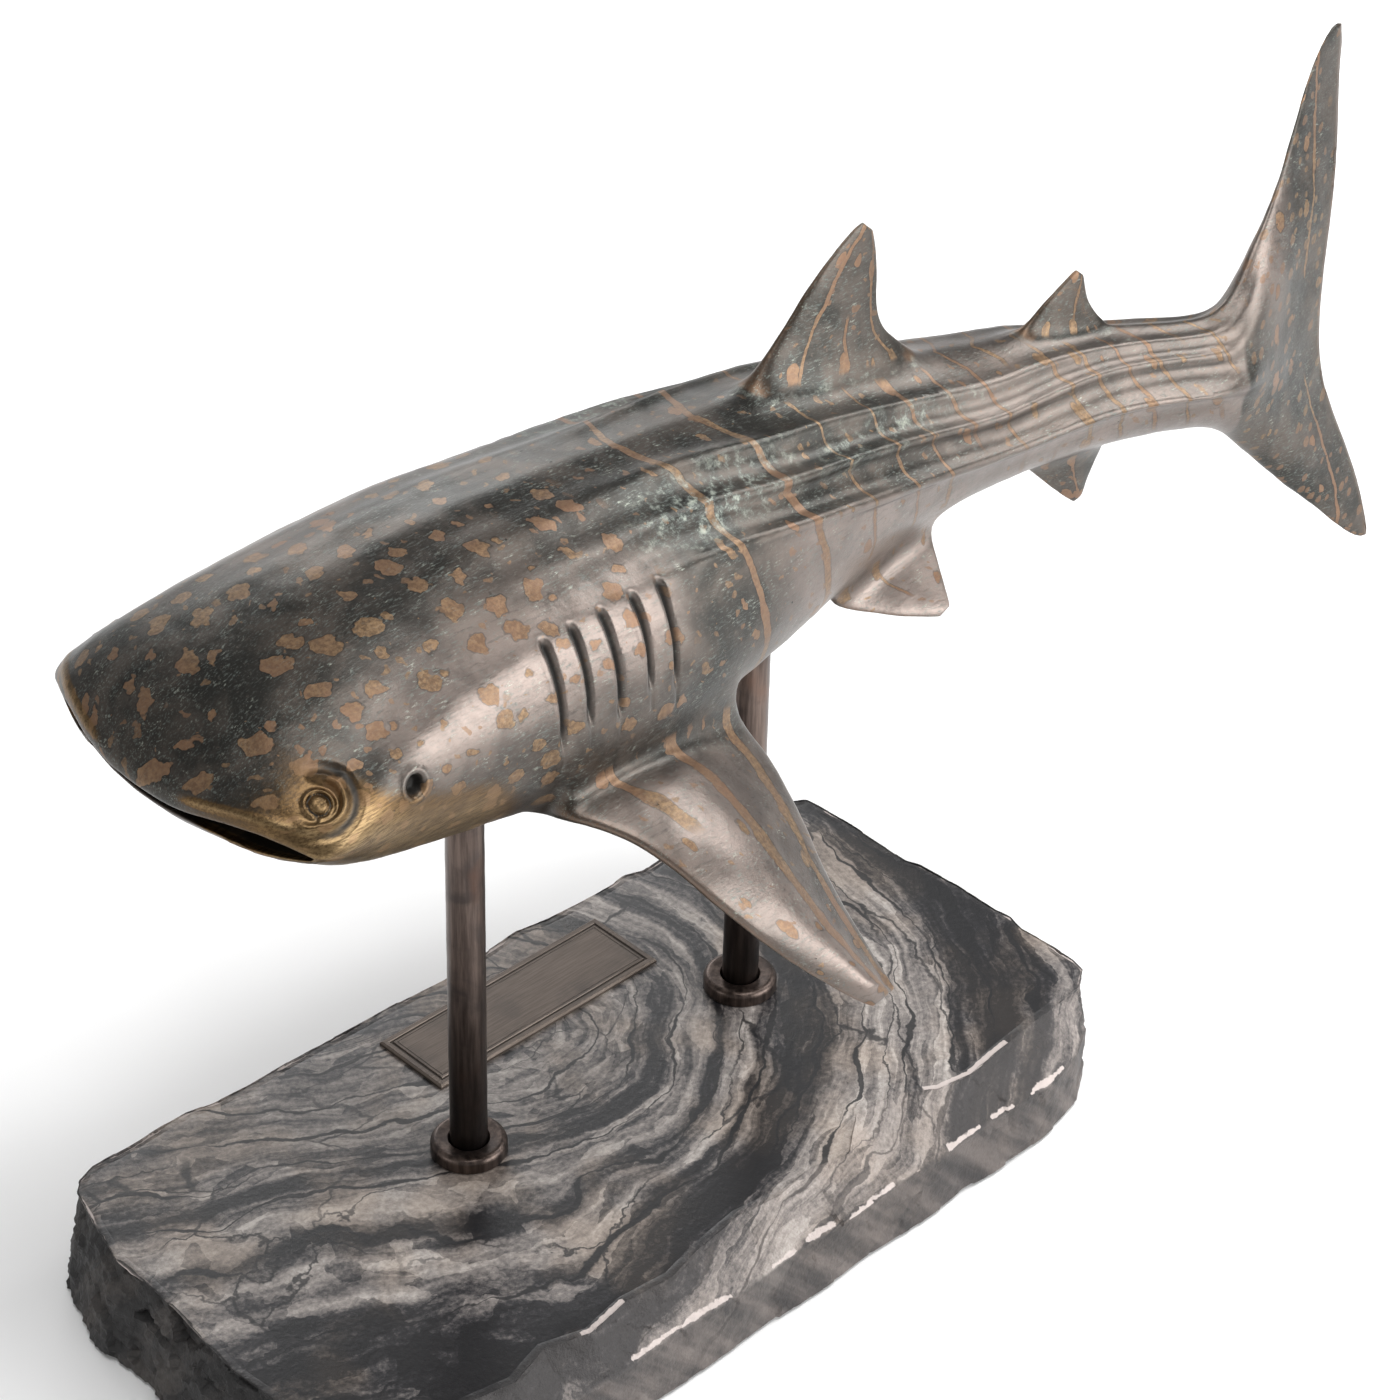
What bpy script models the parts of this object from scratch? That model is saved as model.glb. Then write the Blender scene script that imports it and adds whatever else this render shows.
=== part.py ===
"""Bronze whale shark on two round posts over a rough-edged marble slab with a name plaque.

Lengths are metres. X runs along the slab with the snout at -X, Y is across it with the
shark's left side at -Y, and Z is up from the plane that the felt underside rests on.
Shark stations are given in post diameters: along, across, and up from the slab's top face.
"""

import math

import bmesh
import bpy
from mathutils import Vector

# driving dimensions, metres
POST_DIAMETER = 0.0127
POST_SPACING = 0.1266
FELT_THICKNESS = 0.0015
SLAB_THICKNESS = 0.0365
SLAB_TOP = FELT_THICKNESS + SLAB_THICKNESS
LEDGE_DROP = 0.0140
COLLAR_RADIUS = 0.0129
COLLAR_HEIGHT = 0.0058
PLAQUE_LENGTH = 0.1008
PLAQUE_WIDTH = 0.0320
PLAQUE_THICKNESS = 0.0016
PLAQUE_Y = 0.0447
SPIGOT_RADIUS = 0.0040
FIT_GAP = 0.0003
COUNTERBORE_RADIUS = 0.0130
COUNTERBORE_DEPTH = 0.0130
WASHER_RADIUS = 0.0110
WASHER_HEIGHT = 0.0016
NUT_ACROSS_FLATS = 0.0130
NUT_HEIGHT = 0.0065
SOCKET_DEPTH = 0.0120
CAST_LEVEL = 1

COLUMNS = 22
HALF = 11


def clear_scene():
    for item in list(bpy.data.objects):
        bpy.data.objects.remove(item, do_unlink=True)


def metal(name, colour, metallic, roughness):
    made = bpy.data.materials.new(name)
    made.use_nodes = True
    shader = made.node_tree.nodes["Principled BSDF"]
    shader.inputs["Base Color"].default_value = (*colour, 1.0)
    shader.inputs["Metallic"].default_value = metallic
    shader.inputs["Roughness"].default_value = roughness
    made.diffuse_color = (*colour, 1.0)
    return made


def add_object(name, mesh_source, material, smooth=True):
    mesh = bpy.data.meshes.new(name)
    bmesh.ops.recalc_face_normals(mesh_source, faces=mesh_source.faces)
    mesh_source.to_mesh(mesh)
    mesh_source.free()
    made = bpy.data.objects.new(name, mesh)
    bpy.context.scene.collection.objects.link(made)
    made.data.materials.append(material)
    for polygon in made.data.polygons:
        polygon.use_smooth = smooth
    return made


def lathe(profile, segments, centre=(0.0, 0.0)):
    """Closed solid turned about a vertical axis; an inner radius makes a ring."""
    solid = bmesh.new()
    rows = []
    for radius, height in profile:
        row = []
        for k in range(segments):
            turn = 2 * math.pi * k / segments
            x = centre[0] + radius * math.cos(turn)
            y = centre[1] + radius * math.sin(turn)
            row.append(solid.verts.new((x, y, height)))
        rows.append(row)
    for low, high in zip(rows, rows[1:]):
        for k in range(segments):
            n = (k + 1) % segments
            solid.faces.new((low[k], low[n], high[n], high[k]))
    return solid, rows


def turned_rod(profile, segments, centre):
    solid, rows = lathe(profile, segments, centre)
    solid.faces.new(list(reversed(rows[0])))
    solid.faces.new(rows[-1])
    return solid


def turned_ring(profile, segments, centre):
    solid, rows = lathe(profile + [profile[0]], segments, centre)
    bmesh.ops.remove_doubles(solid, verts=solid.verts, dist=1e-6)
    return solid


# shark body: station, bow, mid height, rise, drop, half width, top and bottom fullness
BODY = [
    (-14.85, 1.25, 16.66, 0.34, 0.28, 4.72, 2.00, 2.00),
    (-14.46, 1.20, 16.70, 0.80, 0.80, 4.98, 2.10, 2.10),
    (-13.66, 1.05, 16.70, 1.42, 1.45, 5.02, 2.20, 2.20),
    (-12.48, 0.80, 16.65, 2.10, 2.25, 4.94, 2.20, 2.20),
    (-11.05, 0.50, 16.58, 2.63, 2.85, 4.84, 2.10, 2.10),
    (-9.55, 0.25, 16.50, 3.16, 3.30, 4.74, 2.05, 2.05),
    (-8.10, 0.10, 16.42, 3.40, 3.70, 4.70, 2.00, 2.00),
    (-6.80, 0.00, 16.30, 3.66, 3.92, 4.70, 2.00, 2.00),
    (-5.60, 0.00, 16.18, 3.80, 4.05, 4.70, 2.00, 2.00),
    (-4.40, 0.00, 16.06, 3.88, 4.10, 4.68, 2.00, 2.00),
    (-3.20, 0.00, 15.98, 3.88, 4.08, 4.62, 2.00, 2.00),
    (-2.00, 0.00, 15.92, 3.84, 4.02, 4.50, 2.00, 2.00),
    (-0.80, 0.00, 15.88, 3.76, 3.92, 4.34, 2.00, 2.00),
    (0.40, 0.00, 15.86, 3.66, 3.80, 4.16, 2.00, 2.00),
    (1.60, 0.00, 15.86, 3.54, 3.66, 3.96, 2.00, 2.00),
    (2.90, 0.00, 15.87, 3.40, 3.48, 3.74, 2.00, 2.00),
    (4.20, 0.00, 15.90, 3.22, 3.24, 3.46, 2.00, 2.00),
    (5.70, 0.00, 15.95, 3.02, 2.96, 3.14, 2.00, 2.00),
    (7.20, 0.00, 16.00, 2.72, 2.68, 2.80, 2.00, 2.00),
    (8.70, 0.00, 16.02, 2.44, 2.42, 2.50, 2.00, 2.00),
    (10.20, 0.00, 16.00, 2.20, 2.22, 2.26, 2.00, 2.00),
    (11.80, 0.00, 15.92, 1.96, 2.05, 2.04, 2.00, 2.00),
    (13.40, 0.00, 15.82, 1.94, 1.90, 1.82, 2.00, 2.00),
    (14.90, 0.00, 15.70, 1.78, 1.78, 1.62, 2.00, 2.00),
    (16.40, 0.00, 15.54, 1.64, 1.68, 1.46, 2.00, 2.00),
    (18.10, 0.00, 15.30, 1.54, 1.60, 1.34, 2.00, 2.00),
    (19.80, 0.00, 15.02, 1.52, 1.60, 1.24, 2.00, 2.00),
]

# mouth pocket behind the lips, in the same terms, from the lips inwards
MOUTH = [
    (-14.75, 1.25, 16.58, 0.14, 0.16, 4.52),
    (-14.15, 1.25, 16.55, 0.12, 0.20, 4.30),
    (-13.20, 1.15, 16.50, 0.10, 0.20, 3.80),
]

# angles from the back's mid line of the three flank ridges and the lower columns
RIDGES = [
    (-14.85, 33.0, 65.0, 98.0, 131.0, 147.0, 164.0),
    (-13.0, 28.0, 54.0, 84.0, 124.0, 142.0, 161.0),
    (-11.0, 23.0, 44.0, 68.0, 112.0, 132.0, 155.0),
    (-8.0, 19.0, 38.0, 56.0, 104.0, 124.0, 146.0),
    (-4.0, 18.0, 35.0, 51.0, 102.0, 121.0, 143.0),
    (0.0, 18.0, 36.0, 53.0, 102.0, 121.0, 143.0),
    (4.0, 27.0, 46.0, 64.0, 104.0, 124.0, 146.0),
    (8.0, 35.0, 56.0, 79.0, 112.0, 130.0, 150.0),
    (12.0, 39.0, 63.0, 89.0, 117.0, 136.0, 157.0),
    (16.0, 28.0, 50.0, 83.0, 113.0, 135.0, 157.0),
    (19.8, 25.0, 48.0, 85.0, 113.0, 135.0, 157.0),
]

UPPER_LEAD = [
    (19.80, -2.75, 16.56), (20.30, -2.80, 17.55), (21.30, -2.60, 18.45), (22.74, -2.10, 19.64),
    (24.00, -1.50, 21.25), (24.70, -1.15, 22.05), (25.45, -0.90, 22.82), (26.95, -0.55, 23.25),
]
UPPER_TRAIL = [
    (26.95, -0.55, 23.25), (26.30, -1.00, 21.23), (26.16, -1.25, 20.44), (25.84, -1.70, 19.36),
    (25.36, -2.10, 18.27), (24.73, -2.50, 17.07), (24.31, -2.80, 15.58), (24.19, -3.00, 14.12),
]
LOWER_TRAIL = [
    (24.19, -3.00, 14.12), (24.62, -3.20, 12.45), (25.22, -3.70, 10.74), (25.62, -4.20, 9.27),
    (25.78, -4.70, 7.20),
]
LOWER_LEAD = [
    (19.80, -2.75, 13.42), (20.78, -3.05, 12.30), (22.36, -3.70, 10.50), (23.92, -4.20, 9.00),
    (24.95, -4.50, 7.80), (25.78, -4.70, 7.20),
]

# fin sections from root to tip: leading point, trailing point, half thickness
FIRST_DORSAL = [
    ((4.60, 0.00, 19.60), (9.75, -0.40, 18.85), 0.50),
    ((5.60, -0.02, 20.62), (9.00, -0.34, 19.45), 0.32),
    ((6.45, -0.06, 21.50), (8.82, -0.26, 20.20), 0.24),
    ((7.20, -0.10, 22.16), (8.86, -0.20, 21.05), 0.18),
    ((7.85, -0.12, 22.60), (8.78, -0.16, 21.85), 0.13),
    ((8.22, -0.14, 22.72), (8.62, -0.16, 22.34), 0.08),
]
SECOND_DORSAL = [
    ((13.60, -1.05, 17.95), (16.50, -1.60, 17.25), 0.28),
    ((14.35, -1.20, 18.62), (15.80, -1.48, 17.95), 0.18),
    ((14.95, -1.30, 19.02), (15.60, -1.40, 18.52), 0.12),
    ((15.25, -1.34, 19.20), (15.52, -1.38, 18.96), 0.07),
]
ANAL = [
    ((13.95, -1.15, 13.65), (16.80, -1.65, 13.40), 0.26),
    ((14.85, -1.22, 12.75), (16.50, -1.55, 12.80), 0.17),
    ((15.60, -1.30, 12.05), (16.35, -1.45, 12.25), 0.11),
    ((16.00, -1.36, 11.72), (16.28, -1.42, 11.88), 0.07),
]
PELVIC = [
    ((5.80, -1.75, 13.10), (9.90, -1.50, 13.75), 0.26),
    ((6.65, -2.30, 12.78), (9.55, -2.15, 13.30), 0.19),
    ((7.75, -2.85, 12.45), (9.25, -2.75, 12.80), 0.13),
    ((8.62, -3.20, 12.22), (9.05, -3.18, 12.40), 0.08),
]
PECTORAL = [
    ((-6.05, -4.35, 13.85), (1.10, -3.55, 12.80), 0.62),
    ((-5.60, -5.20, 13.88), (1.28, -4.30, 12.25), 0.54),
    ((-5.05, -6.10, 13.60), (1.02, -5.20, 11.82), 0.48),
    ((-4.62, -6.95, 13.10), (0.72, -6.10, 11.42), 0.42),
    ((-4.05, -7.85, 12.20), (0.35, -7.10, 10.88), 0.36),
    ((-3.05, -8.75, 10.85), (0.18, -8.10, 10.10), 0.30),
    ((-1.70, -9.45, 9.35), (0.26, -9.05, 9.15), 0.23),
    ((-0.60, -9.85, 8.40), (0.34, -9.75, 8.45), 0.15),
]

GILL_STATIONS = (-5.90, -5.00, -4.02, -2.98, -2.08)
GILL_TOP = 47.0
EYE = (-12.81, -4.17, 17.55)
EYE_FACING = (-0.48, -0.53, 0.70)
SPIRACLE = (-10.46, -4.63, 17.19)
SPIRACLE_FACING = (-0.10, -0.97, 0.22)
GILL_BOTTOM = (93.0, 88.0, 90.0, 86.0, 90.0)


def smooth_row(table, at):
    """Row of a table at a station between its rows, eased so that slopes carry through."""
    stations = [row[0] for row in table]
    at = min(max(at, stations[0]), stations[-1])
    k = max(i for i in range(len(stations) - 1) if stations[i] <= at)
    span = stations[k + 1] - stations[k]
    t = (at - stations[k]) / span
    found = []
    for c in range(1, len(table[0])):
        low = table[k][c]
        high = table[k + 1][c]
        before = table[max(k - 1, 0)]
        after = table[min(k + 2, len(table) - 1)]
        slope_low = (high - before[c]) / (stations[k + 1] - before[0])
        slope_high = (after[c] - low) / (after[0] - stations[k])
        a = 2 * t ** 3 - 3 * t ** 2 + 1
        b = t ** 3 - 2 * t ** 2 + t
        c3 = -2 * t ** 3 + 3 * t ** 2
        d = t ** 3 - t ** 2
        found.append(a * low + b * span * slope_low + c3 * high + d * span * slope_high)
    return found


def sweep(station):
    """Sideways offset and heading of the body's axis, which swings to the left aft."""
    t = max(0.0, (station - 5.0) / 14.5)
    offset = -2.7 * t ** 1.8
    slope = -2.7 * 1.8 / 14.5 * t ** 0.8 if t > 0 else 0.0
    return offset, slope


def column_angles(station):
    first, second, third, low, lower, lowest = smooth_row(RIDGES, station)
    return [
        0.0, first / 2, first, (first + second) / 2, second, (second + third) / 2, third,
        (third + low) / 2, low, lower, lowest, 180.0,
    ]


def ridge_height(station, column):
    """Relief of a column: ridges stand proud and the bands between them are hollow."""
    ramp = min(1.0, max(0.0, (station + 13.5) / 9.0))
    fade = min(1.0, max(0.25, (21.0 - station) / 8.0))
    relief = {0: 0.12, 1: -0.05, 2: 0.14 * fade, 3: -0.08, 4: 0.14 * fade, 5: -0.10, 6: 0.24, 7: -0.06}
    keel = min(1.0, max(0.0, (station - 12.0) / 6.0))
    value = relief.get(column, 0.0) * ramp
    if column == 6:
        value += 0.22 * keel
    if column in (5, 7):
        value -= 0.05 * keel
    return value


def section_point(row, angle, extra=0.0, side=-1.0):
    """Point on the body's section at an angle from the top, in post diameters."""
    station, bow, mid, rise, drop, half_width, full_top, full_low = row
    turn = math.radians(angle)
    upper = math.cos(turn) >= 0
    power = 2.0 / (full_top if upper else full_low)
    across = half_width * abs(math.sin(turn)) ** power
    high = (rise if upper else drop) * abs(math.cos(turn)) ** power
    up = high if upper else -high
    reach = math.hypot(across, up)
    grow = 1.012 + extra / max(reach, 0.1)
    across *= grow
    up *= grow
    offset, slope = sweep(station)
    length = math.hypot(1.0, slope)
    along = station + bow * (across / half_width) ** 2 if half_width else station
    x = along - side * across * slope / length
    y = offset + side * across / length
    return Vector((x, y, mid + up))


def ring_points(row, setback=0.0, relief=True):
    angles = column_angles(row[0])
    left = []
    for column, angle in enumerate(angles):
        extra = ridge_height(row[0], column) if relief else 0.0
        left.append((angle, extra))
    points = []
    for column in range(COLUMNS):
        k = column if column <= HALF else COLUMNS - column
        side = -1.0 if column <= HALF else 1.0
        angle, extra = left[k]
        point = section_point(row, angle, extra, side)
        point.x += setback * (1 - math.cos(math.radians(angle))) / 2
        points.append(point)
    return points


def polyline_at(points, t):
    spans = [(Vector(b) - Vector(a)).length for a, b in zip(points, points[1:])]
    total = sum(spans)
    goal = t * total
    for (a, b), span in zip(zip(points, points[1:]), spans):
        if goal <= span or span == spans[-1] and b == points[-1]:
            return Vector(a).lerp(Vector(b), min(1.0, goal / span))
        goal -= span
    return Vector(points[-1])


def tail_rows(last_ring, rows=6):
    """Rows of the tail fin between the body's last ring and the trailing edge."""
    upper = [0.0, 0.14, 0.30, 0.48, 0.66, 0.84]
    lower = [0.0, 0.22, 0.44, 0.65, 0.84, 1.0]
    edge = [polyline_at(UPPER_TRAIL, t) for t in upper] + [polyline_at(LOWER_TRAIL, t) for t in lower]
    root = []
    half = []
    for column in range(HALF + 1):
        left = last_ring[column]
        right = last_ring[(COLUMNS - column) % COLUMNS]
        root.append((left + right) / 2)
        half.append((left - right).length / 2)
    found = []
    for k in range(1, rows + 1):
        t = k / rows
        top = polyline_at(UPPER_LEAD, t)
        low = polyline_at(LOWER_LEAD, t)
        mid = []
        for column in range(HALF + 1):
            v = column / HALF
            flat = root[column].lerp(edge[column], t) + top.lerp(low, v)
            corner_a = root[0].lerp(root[HALF], v)
            corner_b = edge[0].lerp(edge[HALF], v)
            mid.append(flat - corner_a.lerp(corner_b, t))
        found.append(mid)
    ring_rows = []
    for k, mid in enumerate(found):
        t = (k + 1) / rows
        if k == rows - 1:
            ring_rows.append([edge[column] for column in range(HALF + 1)])
            break
        row = [None] * COLUMNS
        for column in range(HALF + 1):
            ahead = found[k + 1][column] if k + 1 < rows else mid[column]
            behind = found[k - 1][column] if k > 0 else root[column]
            along = ahead - behind
            c0 = max(column - 1, 0)
            c1 = min(column + 1, HALF)
            down = mid[c1] - mid[c0]
            normal = along.cross(down).normalized()
            if normal.y > 0:
                normal = -normal
            spread = half[column] * (1 - t) ** 2.6
            lens = 0.30 * math.sin(math.pi * min(1.0, (column + 0.0) / HALF)) ** 0.5
            thick = spread + lens * (1 - t) ** 0.55 * min(1.0, 0.45 + t)
            if column in (0, HALF):
                thick = 0.0
            row[column] = mid[column] + normal * thick
            if 0 < column < HALF:
                row[COLUMNS - column] = mid[column] - normal * thick
        ring_rows.append(row)
    return ring_rows


def fin_loops(root, sections, out, cross_scale=1.0):
    """Rings of a fin from its root ring outwards; root is front, side A, rear, side B."""
    count = (len(root) - 2) // 2
    loops = []
    for k, (lead, trail, half) in enumerate(sections):
        lead = Vector(lead)
        trail = Vector(trail)
        chord = trail - lead
        normal = chord.cross(out(k)).normalized()
        ring = [lead]
        side_a = []
        side_b = []
        for i in range(count):
            c = 0.05 + 0.88 * (i / (count - 1)) ** 1.15
            shape = (c ** 0.5) * ((1 - c) ** 0.75) / 0.476
            at = lead + chord * c
            side_a.append(at + normal * half * shape)
            side_b.append(at - normal * half * shape)
        ring += side_a
        ring.append(trail)
        ring += list(reversed(side_b))
        loops.append(ring)
    return loops


def mirror(point):
    return Vector((point[0], -point[1], point[2]))


def build_shark_cage():
    """One closed quad cage: mouth pocket, lips, body, tail and seven more fins."""
    cage = bmesh.new()
    rings = []
    inner = []
    for station, bow, mid, rise, drop, half_width in reversed(MOUTH):
        row = (station, bow, mid, rise, drop, half_width, 2.0, 2.0)
        lips = (-14.85,) + row[1:]
        points = ring_points(lips, setback=0.30, relief=False)
        for point in points:
            point.x += station + 14.85
        inner.append([cage.verts.new(point) for point in points])
    for index, row in enumerate(BODY):
        setback = (0.30, 0.36, 0.34, 0.22, 0.10)[index] if index < 5 else 0.0
        rings.append([cage.verts.new(point) for point in ring_points(row, setback)])

    # closed end of the mouth pocket
    back = inner[0]
    for j in range(5):
        cage.faces.new((back[j], back[j + 1], back[10 - j], back[11 - j]))
        a = (COLUMNS - j) % COLUMNS
        cage.faces.new((back[a], back[COLUMNS - j - 1], back[12 + j], back[11 + j]))
    tube = inner + rings
    holes = set()

    def block(first, last, columns):
        for i in range(first, last):
            for c in columns:
                holes.add((i, c % COLUMNS))

    offset = len(inner)
    station_index = {round(row[0], 2): k for k, row in enumerate(BODY)}
    fins = []

    def plan(first, last, mid_column, side_a, side_b, sections, out):
        a = station_index[first] + offset
        b = station_index[last] + offset
        block(a, b, [mid_column - 1, mid_column] if mid_column <= HALF and side_a < side_b or
              mid_column == 0 else [mid_column - 1, mid_column])
        front = tube[a][mid_column % COLUMNS]
        rear = tube[b][mid_column % COLUMNS]
        list_a = [tube[i][side_a % COLUMNS] for i in range(a, b + 1)]
        list_b = [tube[i][side_b % COLUMNS] for i in range(a, b + 1)]
        root = [front] + list_a + [rear] + list(reversed(list_b))
        fins.append((root, sections, out))

    def outwards(sections):
        mids = [(Vector(s[0]) + Vector(s[1])) / 2 for s in sections]

        def at(k):
            low = mids[max(k - 1, 0)]
            high = mids[min(k + 1, len(mids) - 1)]
            return high - low
        return at

    def flipped(sections):
        return [(tuple(mirror(a)), tuple(mirror(b)), h) for a, b, h in sections]

    plan(4.20, 10.20, 0, 1, -1, FIRST_DORSAL, outwards(FIRST_DORSAL))
    plan(13.40, 16.40, 0, 1, -1, SECOND_DORSAL, outwards(SECOND_DORSAL))
    plan(13.40, 16.40, 11, 12, 10, ANAL, outwards(ANAL))
    plan(5.70, 10.20, 9, 10, 8, PELVIC, outwards(PELVIC))
    plan(-5.60, 0.40, 9, 10, 8, PECTORAL, outwards(PECTORAL))
    right_pelvic = []
    for lead, trail, half in PELVIC:
        right_pelvic.append(((lead[0], -lead[1] - 0.5, lead[2]), (trail[0], -trail[1] - 0.7, trail[2]), half))
    plan(5.70, 10.20, 13, 14, 12, right_pelvic, outwards(right_pelvic))
    right_pectoral = flipped(PECTORAL)
    plan(-5.60, 0.40, 13, 14, 12, right_pectoral, outwards(right_pectoral))

    for i in range(len(tube) - 1):
        for c in range(COLUMNS):
            if (i, c) in holes:
                continue
            n = (c + 1) % COLUMNS
            cage.faces.new((tube[i][c], tube[i][n], tube[i + 1][n], tube[i + 1][c]))

    # tail fin
    previous = tube[-1]
    rows = tail_rows([v.co.copy() for v in previous])
    for row in rows[:-1]:
        verts = [cage.verts.new(point) for point in row]
        for c in range(COLUMNS):
            n = (c + 1) % COLUMNS
            cage.faces.new((previous[c], previous[n], verts[n], verts[c]))
        previous = verts
    edge = [cage.verts.new(point) for point in rows[-1]]
    for c in range(HALF):
        cage.faces.new((previous[c], previous[c + 1], edge[c + 1], edge[c]))
        a = (COLUMNS - c) % COLUMNS
        cage.faces.new((previous[a], previous[COLUMNS - c - 1], edge[c + 1], edge[c]))

    for root, sections, out in fins:
        count = (len(root) - 2) // 2
        ring = root
        centre = sum((v.co for v in root), Vector()) / len(root)
        side_a_root = sum((v.co for v in root[1:1 + count]), Vector()) / count
        for loop in fin_loops(root, sections, out):
            side_a = sum(loop[1:1 + count], Vector()) / count
            side_b = sum(loop[2 + count:], Vector()) / count
            if (side_a - side_b).dot(side_a_root - centre) < 0:
                body = loop[1:1 + count]
                other = loop[2 + count:]
                loop = [loop[0]] + list(reversed(other)) + [loop[1 + count]] + list(reversed(body))
            verts = [cage.verts.new(point) for point in loop]
            for k in range(len(ring)):
                n = (k + 1) % len(ring)
                cage.faces.new((ring[k], ring[n], verts[n], verts[k]))
            ring = verts
        side_a = ring[1:1 + count]
        side_b = list(reversed(ring[2 + count:]))
        middle = [cage.verts.new((a.co + b.co) / 2) for a, b in zip(side_a, side_b)]
        for k in range(count - 1):
            cage.faces.new((side_a[k], side_a[k + 1], middle[k + 1], middle[k]))
            cage.faces.new((middle[k], middle[k + 1], side_b[k + 1], side_b[k]))
        cage.faces.new((ring[0], side_a[0], middle[0], side_b[0]))
        cage.faces.new((ring[1 + count], side_b[-1], middle[-1], side_a[-1]))
    bmesh.ops.recalc_face_normals(cage, faces=cage.faces)

    # the strong lower ridge and the keel keep a tighter line than the rest
    crease = cage.edges.layers.float.get("crease_edge") or cage.edges.layers.float.new("crease_edge")
    sharp = {2: 0.6, 4: 0.6, 6: 0.8, COLUMNS - 2: 0.6, COLUMNS - 4: 0.6, COLUMNS - 6: 0.8}
    for i in range(offset + 7, len(tube) - 1):
        for c, value in sharp.items():
            shared = cage.edges.get((tube[i][c], tube[i + 1][c]))
            if shared:
                shared[crease] = value
    for j in range(HALF):
        shared = cage.edges.get((edge[j], edge[j + 1]))
        if shared:
            shared[crease] = 0.7
    scale = POST_DIAMETER
    for vert in cage.verts:
        vert.co = Vector((vert.co.x * scale, vert.co.y * scale, SLAB_TOP + vert.co.z * scale))
    return cage


def to_metres(point):
    return Vector((point.x * POST_DIAMETER, point.y * POST_DIAMETER, SLAB_TOP + point.z * POST_DIAMETER))


def body_row(station):
    return [station] + smooth_row(BODY, station)


def gill_cutter(station, top, bottom, side):
    """Thin curved blade that follows the body's section to cut one gill slit."""
    solid = bmesh.new()
    rows = []
    steps = 9
    for k in range(steps + 1):
        angle = top + (bottom - top) * k / steps
        lean = 0.10 * math.sin(math.pi * k / steps)
        row = body_row(station + lean)
        inside = to_metres(section_point(row, angle, -0.22, side))
        outside = to_metres(section_point(row, angle, 0.30, side))
        taper = math.sin(math.pi * (k + 0.35) / (steps + 0.7)) ** 0.5
        half = 0.0008 * taper
        ahead = Vector((1.0, 0.0, 0.0))
        deep = inside.lerp(outside, 1 - taper) if taper < 0.9 else inside
        rows.append([
            solid.verts.new(outside + ahead * half * 2), solid.verts.new(outside - ahead * half * 2),
            solid.verts.new(deep - ahead * half * 0.6), solid.verts.new(deep + ahead * half * 0.6),
        ])
    for low, high in zip(rows, rows[1:]):
        for c in range(4):
            n = (c + 1) % 4
            solid.faces.new((low[c], low[n], high[n], high[c]))
    solid.faces.new(list(reversed(rows[0])))
    solid.faces.new(rows[-1])
    return solid


def ball(centre, radius, segments=16):
    solid = bmesh.new()
    bmesh.ops.create_uvsphere(solid, u_segments=segments, v_segments=segments // 2, radius=radius)
    bmesh.ops.translate(solid, verts=solid.verts, vec=centre)
    return solid


def boolean(target, name, solid, operation="DIFFERENCE"):
    tool = add_object(name, solid, bpy.data.materials[0])
    tool.hide_render = True
    tool.display_type = "WIRE"
    change = target.modifiers.new(name, "BOOLEAN")
    change.operation = operation
    change.solver = "EXACT"
    change.object = tool
    return tool


def build_shark(bronze):
    shark = add_object("shark", build_shark_cage(), bronze)
    level = shark.modifiers.new("cast_surface", "SUBSURF")
    level.levels = CAST_LEVEL
    level.render_levels = CAST_LEVEL
    for end, x in (("front", -POST_SPACING / 2), ("rear", POST_SPACING / 2)):
        top = SOCKET_TOP[end]
        socket = turned_rod([(POST_DIAMETER / 2 + FIT_GAP, top - 0.045), (POST_DIAMETER / 2 + FIT_GAP, top)],
                            40, (x, 0.0))
        boolean(shark, "socket_" + end, socket)
    for side, label in ((-1.0, "left"), (1.0, "right")):
        for k, station in enumerate(GILL_STATIONS):
            solid = gill_cutter(station, GILL_TOP, GILL_BOTTOM[k], side)
            boolean(shark, "gill_%s_%d" % (label, k + 1), solid)
        flip = Vector((1.0, -side, 1.0))
        eye = to_metres(Vector(EYE) * flip) - Vector(EYE_FACING) * flip * 0.0016
        boolean(shark, "eye_" + label, ball(eye, 0.0033), "UNION")
        pit = to_metres(Vector(SPIRACLE) * flip) + Vector(SPIRACLE_FACING) * flip * 0.0006
        boolean(shark, "spiracle_" + label, ball(pit, 0.0024), "DIFFERENCE")
    return shark


SOCKET_TOP = {
    "front": SLAB_TOP + (12.10 + 0.95) * POST_DIAMETER,
    "rear": SLAB_TOP + (12.80 + 0.95) * POST_DIAMETER,
}


def build_post(name, x, top, bronze):
    shoulder = POST_DIAMETER / 2
    profile = [
        (SPIGOT_RADIUS - 0.0005, 0.0045), (SPIGOT_RADIUS, 0.0052), (SPIGOT_RADIUS, SLAB_TOP),
        (shoulder, SLAB_TOP), (shoulder, top - 0.0006), (shoulder - 0.0006, top),
    ]
    return add_object(name, turned_rod(profile, 40, (x, 0.0)), bronze, smooth=False)


def build_collar(name, x, bronze):
    inner = POST_DIAMETER / 2 + FIT_GAP
    outer = COLLAR_RADIUS
    base = SLAB_TOP
    top = SLAB_TOP + COLLAR_HEIGHT
    profile = [(inner, base), (outer - 0.0004, base), (outer, base + 0.0006)]
    for k in range(6):
        turn = math.radians(90 * k / 5)
        profile.append((outer - 0.0024 + 0.0024 * math.cos(turn), top - 0.0024 + 0.0024 * math.sin(turn)))
    profile += [(outer - 0.0034, top - 0.0005), (inner, top - 0.0006)]
    return add_object(name, turned_ring(profile, 40, (x, 0.0)), bronze)


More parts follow.
